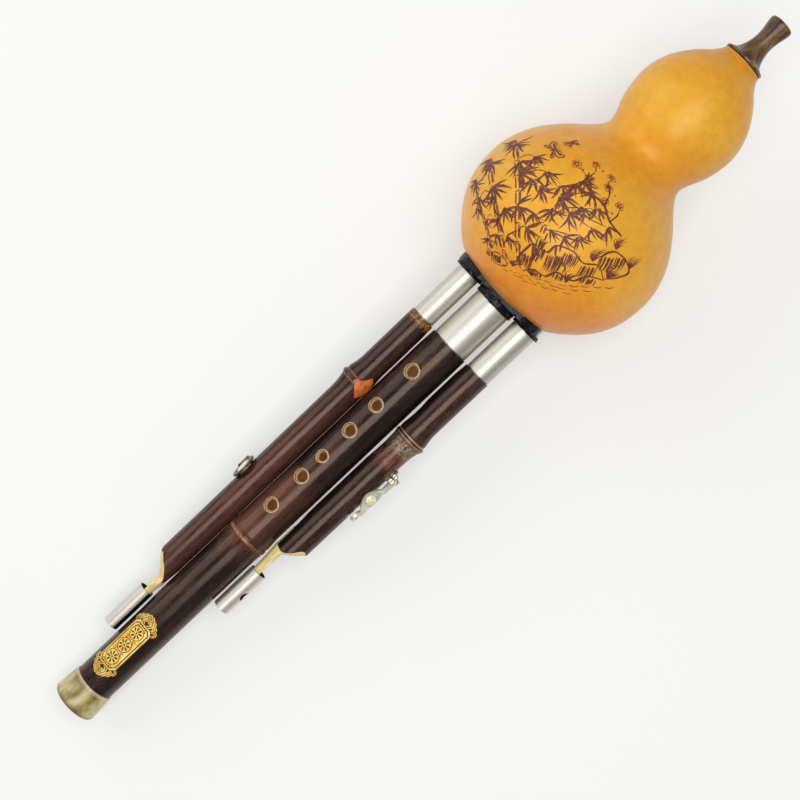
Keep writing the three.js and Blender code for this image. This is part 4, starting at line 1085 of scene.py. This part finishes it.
# The left drone keeps the scar of a side branch at its node: a bright raised three-cornered spot
# of bare rind on the flank that faces the melody pipe. Its outline is distance and angle.
scar_rind = patterned("bare_branch_scar", {"Scale": 0.45, "Detail": 4}, [(0.3, "#9A4618"),
    (0.48, "#C46224"), (0.7, "#DB8038")], {"Roughness": 0.38})
outline = [(189.7, 6), (190.6, -9), (192.6, -26), (195, -42), (193.6, -60), (189, -72), (185, -62),
    (183.4, -45), (185.6, -27), (187.5, -9), (188.6, 6)]
scar = started("branch_scar", bpy.ops.mesh.primitive_circle_add, vertices=len(outline), radius=1,
    fill_type="TRIFAN")
hub = [v for v in scar.data.vertices if v.co.length < 0.5][0]
corners = [v for v in scar.data.vertices if v.index != hub.index]
for corner, (x, angle) in zip(corners, outline):
    corner.co = (x, angle, 0)
hub.co = (188, -48, 0)
edit()
bpy.ops.mesh.subdivide(number_cuts=5, smoothness=0)
bpy.ops.object.mode_set(mode="OBJECT")
profile = pipe_outside(66.2, 5.95, LEFT_NODE, 0.75)
for corner in scar.data.vertices:
    x, angle = corner.co.x, radians(corner.co.y)
    around = min(profile, key=lambda station: abs(station[0] - x))[1]
    middle = max(0, 1 - hypot((x - 188) / 6, (corner.co.y + 48) / 40))
    reach = around + 0.08 + 0.3 * middle
    corner.co = (x * MM, (LEFT + reach * sin(angle)) * MM, reach * cos(angle) * MM)
changed(scar, "SOLIDIFY", thickness=0.35 * MM, offset=-1)
close_up(scar, finish=scar_rind)
fit(scar, "left_drone", (), 50)


# Tuning tubes
# A short nickel silver tube slides on each tongue, open at its upper end, with a round hole on
# its outer side: pushing it up or down tunes the drone.

bright_satin = rubbed("bright_satin_nickel_silver", "#CFC6BA", "#E6DFD4", 0.85, 0.38, 0.46)
tarnish = rubbed("brown_tarnish_in_tube", "#4A3424", "#6B5240")
# A black copy of the mastic, for painted shade on the left tube's flank.
tube_flank_shade = mastic.copy()
tube_flank_shade.name = "nickel_silver_painted_shade"

for name, offset, outer, start, end, hole_turn in [("left", TONGUE, 3.65, 36.5, 59, -117),
        ("right", -TONGUE - 0.25, 3.9, 77.3, 100.4, 72)]:
    wall = outer - 0.33
    sleeve = turned(name + "_tuner", [(start + 0.1, wall), (start, wall + 0.06),
        (start, outer - 0.09), (start + 0.1, outer), (start + 11, outer), (end - 0.1, outer),
        (end, outer - 0.09), (end, wall + 0.06), (end - 0.1, wall), (start + 11, wall),
        (start + 0.1, wall)], 72, (offset, 0), bright_satin)
    inner_wall(sleeve, tarnish, offset, wall + 0.03, start + 0.05, end - 0.05)
    # Painted shade and reflection: the left tube's flank that lies by the melody pipe is painted
    # black.
    black = give(sleeve, tube_flank_shade) if name == "left" else 0
    for face in sleeve.data.polygons:
        x, y, z = [c / MM for c in face.center]
        if black and y < offset - 0.55 * outer and hypot(y - offset, z) > outer - 0.12:
            face.material_index = black
    at = start + (end - start) * 0.48
    cut_away(sleeve, drill(at, 2.2, radians(hole_turn), offset, 3.4, 0.15, satin, 0.2))
    fit(sleeve, name + "_tuner", [name + "_tuning_tube"])


# Left cover
# A round cap with a mother-of-pearl disc shuts the left drone's side hole. It swings on a pin
# below, in a bracket that hugs the pipe, and a soft leather pad under it keeps the air in.

# Nickel silver worked by hand: polished, warm in tone, with fine marks in no direction.
key_silver = patterned("polished_key_silver", {"Scale": 1.3, "Detail": 5}, [(0.34, "#CFC5B2"),
    (0.5, "#EAE3D4"), (0.7, "#F4F0E6")], {"Metallic": 0.8}, dull=(0.3, 0.7, 0.5, 0.36))
# The same metal finished dark for the cover's parts and the pad's rivets, and as painted shade on
# the key's saddle and in the screw slots.
dark_silver_and_shade = patterned("dark_nickel_silver_and_painted_shade", {"Scale": 0.9, "Detail": 5}, [(0.36, "#3B3128"),
    (0.55, "#5E5040"), (0.72, "#8A7A62")], {"Metallic": 1, "Roughness": 0.34})
# Mother of pearl: layers some 2 mm wide that turn from cream to green and pink.
nacre = patterned("mother_of_pearl", {"Scale": 0.4, "Detail": 4, "Distortion": 1.2},
    [(0.3, "#CFC48C"), (0.44, "#E6DFAC"), (0.54, "#F6F2DA"), (0.62, "#F0E6D4"), (0.75, "#DDD9A4")],
    {"Roughness": 0.2, "Coat Weight": 0.5, "Coat Roughness": 0.06})
# Chamois leather: matt, with a short nap.
leather = patterned("chamois_leather", {"Scale": 3, "Detail": 4},
    [(0.35, "#B59A70"), (0.65, "#DCC8A2")], {"Roughness": 0.9}, bump=(0.5, 0.0002))


def upright(name, stations, sides, at, side=0, finish=None):
    """A turned piece whose axis points out of the pipe: each station is height and radius."""
    return set_place(turned(name, stations, sides, finish=finish), (at, side, 0), (0, -pi / 2, 0))


def soften(piece, width):
    """Eases the sharp edges of a piece, as a file and polish do."""
    changed(piece, "BEVEL", width=width * MM, segments=2, angle_limit=radians(40))


def mount(piece, flank, body, node, sharp=35):
    """Turns a fitting that was made upright to its pipe's flank and ties it to its body."""
    offset, turn = flank
    fit(set_place(piece, (0, offset, 0), (turn, 0, 0)), body, node, sharp)


HINGE = (7.4, 7.1)
cap = upright("cover_cap", [(6.66, 0.02), (6.65, 5.5), (6.7, 5.85), (6.85, 6.02), (7.05, 6.05),
    (7.3, 6.05), (7.46, 5.95), (7.55, 5.7), (7.55, 5.3), (7.42, 5.1), (7.42, 4.9), (7.52, 4.75),
    (7.54, 4.3), (7.5, 3.75), (7.3, 3.65), (7.2, 3.6), (7.2, 0.02)], 96, COVER_AT,
    finish=dark_silver_and_shade)
tab = sawn("cover_tab", [(-1.6, 5), (1.6, 5), (1.6, 7.4), (-1.6, 7.4)], 6.7, 7.5, key_silver)
cut_away(cap, set_place(tab, (COVER_AT, 0, 0)), "UNION")
cut_away(cap, turned("knuckle", [(COVER_AT - 1.6, 0.02), (COVER_AT - 1.6, 0.78),
    (COVER_AT - 1.5, 0.86), (COVER_AT + 1.5, 0.86), (COVER_AT + 1.6, 0.78),
    (COVER_AT + 1.6, 0.02)], 40, HINGE, dark_silver_and_shade), "UNION")
cut_away(cap, rod("pin_bore", COVER_AT - 4, COVER_AT + 4, 0.5, 32, HINGE))
mount(cap, COVER_FLANK, "left_cover", ["left_cover_cap"])

disc = upright("cover_pearl", [(7.32, 0.02), (7.3, 3.2), (7.4, 3.3), (7.55, 3.28), (7.66, 3.1),
    (7.74, 2.6), (7.79, 1.8), (7.8, 0.9), (7.8, 0.02)], 72, COVER_AT, finish=nacre)
mount(disc, COVER_FLANK, "left_cover", ["left_cover_pearl"], 50)

cushion = upright("cover_pad", [(6.35, 0.02), (6.35, 2.9), (6.27, 3.06), (6.1, 3.1), (5.95, 3.06),
    (5.84, 2.9), (5.8, 2.6), (5.82, 1.9), (5.82, 0.02)], 64, COVER_AT, finish=leather)
mount(cushion, COVER_FLANK, "left_cover", ["left_cover_pad"], 60)

# The bracket: a strap bent to the pipe's underside, with a filed lug at each end of the knuckle.
strap = turned("cover_bracket", [(COVER_AT - 3.1, 6.25), (COVER_AT - 3.1, 6.95),
    (COVER_AT + 3.1, 6.95), (COVER_AT + 3.1, 6.25), (COVER_AT - 3.1, 6.25)], 120)
edit()
for place, side in (((0, 4.6, 0), (0, -1, 0)), ((0, 0, 4.4), (0, 0, 1))):
    slice_at(place, side, use_fill=True, clear_outer=True)
close_up(strap)
for start in (-3.1, 1.9):
    lug = sawn("lug", arc(HINGE, 0.86, 0, 180, 14) + [(6.3, 6.2), (4.7, 5.3), (4.7, 4.2),
        (6.2, 1.6), (6.6, 0.8), (7.6, 2.6)], start, start + 1.2)
    cut_away(strap, stood(lug, COVER_AT), "UNION")
cut_away(strap, rod("pipe_room", COVER_AT - 8, COVER_AT + 8, 6.25, 120))
cut_away(strap, rod("pin_bore", COVER_AT - 8, COVER_AT + 8, 0.5, 32, HINGE))
cut_away(strap, upright("cap_room", [(6.35, 0.02), (6.35, 6.35), (9, 6.35), (9, 0.02)], 96,
    COVER_AT))
soften(strap, 0.1)
give(strap, dark_silver_and_shade)
mount(strap, COVER_FLANK, "left_drone", ["left_cover_bracket"])

pin = turned("cover_pin", [(COVER_AT - 3.1, 0.02), (COVER_AT - 3.1, 0.3), (COVER_AT - 2.95, 0.43),
    (COVER_AT - 2.7, 0.45), (COVER_AT + 2.7, 0.45), (COVER_AT + 2.95, 0.43), (COVER_AT + 3.1, 0.3),
    (COVER_AT + 3.1, 0.02)], 32, HINGE, dark_silver_and_shade)
mount(pin, COVER_FLANK, "left_drone", ["left_cover_pin"])


# Right key
# A lever on a cross pin shuts the right drone's side hole: a finger presses its leaf shaped
# touch, set with a pearl, and a coiled spring round the pin lifts it again. A saddle bent round
# the pipe holds the pin between two posts, under a slotted screw head.

PIVOT_HIGH = 8.95
TOUCH_AT = KEY_AT - 11.9

lever = started("key_lever", bpy.ops.mesh.primitive_grid_add, x_subdivisions=56, y_subdivisions=30,
    size=2)
for corner in lever.data.vertices:
    u, v = corner.co.x, corner.co.y
    full = 0.7 * (1 - abs(u) ** 3) + 0.3 * (1 - abs(u))
    half = 1.15 + 1.95 * full
    # Both tips stand in line with the arm; between them the touch turns up toward the finger.
    lean = radians(45) * full ** 0.6
    corner.co = ((TOUCH_AT + 6.6 * u) * MM, (3.7 * full + half * v * cos(lean)) * MM,
        (9.2 - 0.85 * full - half * v * sin(lean)) * MM)
changed(lever, "SOLIDIFY", thickness=0.85 * MM, offset=-1)
close_up(lever)
# The arms are flat strips turned up like the touch; the round end is a cup over the pad.
for name, outline in [("arm", [(KEY_AT - 6.6, -1.3), (KEY_AT - 0.6, -1.6), (KEY_AT - 0.6, 1.6),
        (KEY_AT - 6.6, 1.3)]), ("pad_arm", [(KEY_AT - 20.6, -1.3), (KEY_AT - 17.2, -1.2),
        (KEY_AT - 17.2, 1.2), (KEY_AT - 20.6, 1.3)])]:
    strip = set_place(sawn(name, outline, -0.5, 0.4), (0, 0, PIVOT_HIGH), (radians(-40), 0, 0))
    cut_away(lever, strip, "UNION")
cut_away(lever, upright("pad_end", [(8.5, 0.02), (8.5, 2.36), (7.75, 2.36), (7.7, 2.45),
    (7.75, 2.62), (8, 2.68), (9, 2.68), (9.35, 2.5), (9.45, 2.1), (9.45, 1.6), (9.28, 1.4),
    (9.28, 0.02)], 56, PAD_AT), "UNION")


def across(name, stations, sides, place=0, finish=None):
    """A turned piece whose axis runs across the pipe, at the pin or beside it."""
    return set_place(turned(name, stations, sides, finish=finish),
        (KEY_AT + place, 0, PIVOT_HIGH - place * 0.1), (0, 0, pi / 2))


cut_away(lever, across("hub", [(-1.8, 0.02), (-1.8, 1.15), (-1.65, 1.3), (1.65, 1.3), (1.8, 1.15),
    (1.8, 0.02)], 44), "UNION")
cut_away(lever, across("pin_bore", [(-5, 0.02), (-5, 0.8), (5, 0.8), (5, 0.02)], 32))
soften(lever, 0.14)
give(lever, key_silver)
mount(lever, KEY_FLANK, "right_key", ["right_key_lever"])

# Two small screws pin the pad's holder to the lever's end.
for turn in (radians(55), radians(-125)):
    dot = upright("pad_rivet", [(9.2, 0.02), (9.2, 0.42), (9.38, 0.42), (9.44, 0.3), (9.44, 0.02)],
        24, PAD_AT + 1.05 * cos(turn), 1.05 * sin(turn), dark_silver_and_shade)
    mount(dot, KEY_FLANK, "right_key", [])

cabochon = upright("key_pearl", [(-0.4, 0.02), (-0.4, 2.2), (0.05, 2.25), (0.35, 2.15),
    (0.65, 1.9), (0.9, 1.5), (1.05, 1), (1.12, 0.45), (1.12, 0.02)], 64, 0, finish=nacre)
set_place(cabochon, (TOUCH_AT, 3.35, 8.7), (radians(-45), 0, 0))
mount(cabochon, KEY_FLANK, "right_key", ["right_key_pearl"], 60)

cushion = upright("key_pad", [(8.2, 0.02), (8.2, 2.1), (8.1, 2.25), (7.85, 2.3), (7.6, 2.26),
    (7.44, 2.1), (7.4, 1.8), (7.4, 0.02)], 56, PAD_AT, finish=leather)
mount(cushion, KEY_FLANK, "right_key", ["right_key_pad"], 60)

saddle = turned("key_saddle", [(KEY_AT - 1.7, 6.72), (KEY_AT - 1.7, 7.42), (KEY_AT + 3.9, 7.42),
    (KEY_AT + 3.9, 6.72), (KEY_AT - 1.7, 6.72)], 144)
edit()
for place, side in (((0, 4.3, 0), (0, 1, 0)), ((0, -4.3, 0), (0, -1, 0)), ((0, 0, 0), (0, 0, -1))):
    slice_at(place, side, use_fill=True, clear_outer=True)
close_up(saddle)
for start, place, wide in ((-4.3, 0, 1.7), (3.4, 0, 1.25), (3.4, 2.6, 1.1)):
    post = sawn("post", arc((place, PIVOT_HIGH - place * 0.1), min(wide, 1.25), 0, 180, 14)
        + [(place - wide, 5.4), (place + wide, 5.4)], -start - 0.9, -start)
    # Stood on edge: its outline's Y becomes the height and its thickness runs across the pipe.
    set_place(post, turn=(pi / 2, 0, 0))
    cut_away(saddle, set_place(post, (KEY_AT, 0, 0)), "UNION")
cut_away(saddle, rod("pipe_room", KEY_AT - 8, KEY_AT + 8, 6.72, 144))
cut_away(saddle, across("pin_bore", [(-8, 0.02), (-8, 0.8), (8, 0.8), (8, 0.02)], 32))
soften(saddle, 0.1)
# Painted shade: the saddle takes the dark finish so that it reads as the shadow under the lever.
give(saddle, dark_silver_and_shade)
mount(saddle, KEY_FLANK, "right_drone", ["right_key_saddle"])

# The pin's slotted head and the smaller screw beside it, which pinches the saddle to the pipe.
for name, place, head, stations, replaced in [("key_pin", 0, 1.3, [(-4.3, 0.02), (-4.3, 0.45),
        (-4.15, 0.6), (4.4, 0.6)], ["right_key_pin"]), ("saddle_screw", 2.6, 1.05,
        [(3.2, 0.02), (3.2, 0.5), (4.4, 0.5)], [])]:
    screw = across(name, stations + [(4.4, head - 0.05), (4.5, head), (4.8, head - 0.02),
        (4.95, head - 0.2), (5, head - 0.5), (5, 0.02)], 48, place, key_silver)
    # The slot's faces take the cutter's dark finish: painted shade in the slot.
    slit = sawn("slit", [(-2, 4.72), (2, 4.72), (2, 6), (-2, 6)], -0.17, 0.17, dark_silver_and_shade)
    cut_away(screw, set_place(slit, (KEY_AT + place, 0, PIVOT_HIGH - place * 0.1)))
    mount(screw, KEY_FLANK, "right_drone", replaced, 40)

# Four turns of brass wire round the pin.
coil = bpy.data.curves.new("key_spring", "CURVE")
coil.dimensions, coil.bevel_depth, coil.bevel_resolution = "3D", 0.11 * MM, 3
wire = coil.splines.new("POLY")
wire.points.add(96)
for k, point in enumerate(wire.points):
    turn = k / 96 * 2 * pi * 3.8
    point.co = ((KEY_AT + 1.05 * cos(turn)) * MM, (2.22 + 0.78 * k / 96) * MM,
        (PIVOT_HIGH + 1.05 * sin(turn)) * MM, 1)
spring = meshed("key_spring", coil)
give(spring, rolled_brass)
mount(spring, KEY_FLANK, "right_drone", ["right_key_spring"], 60)
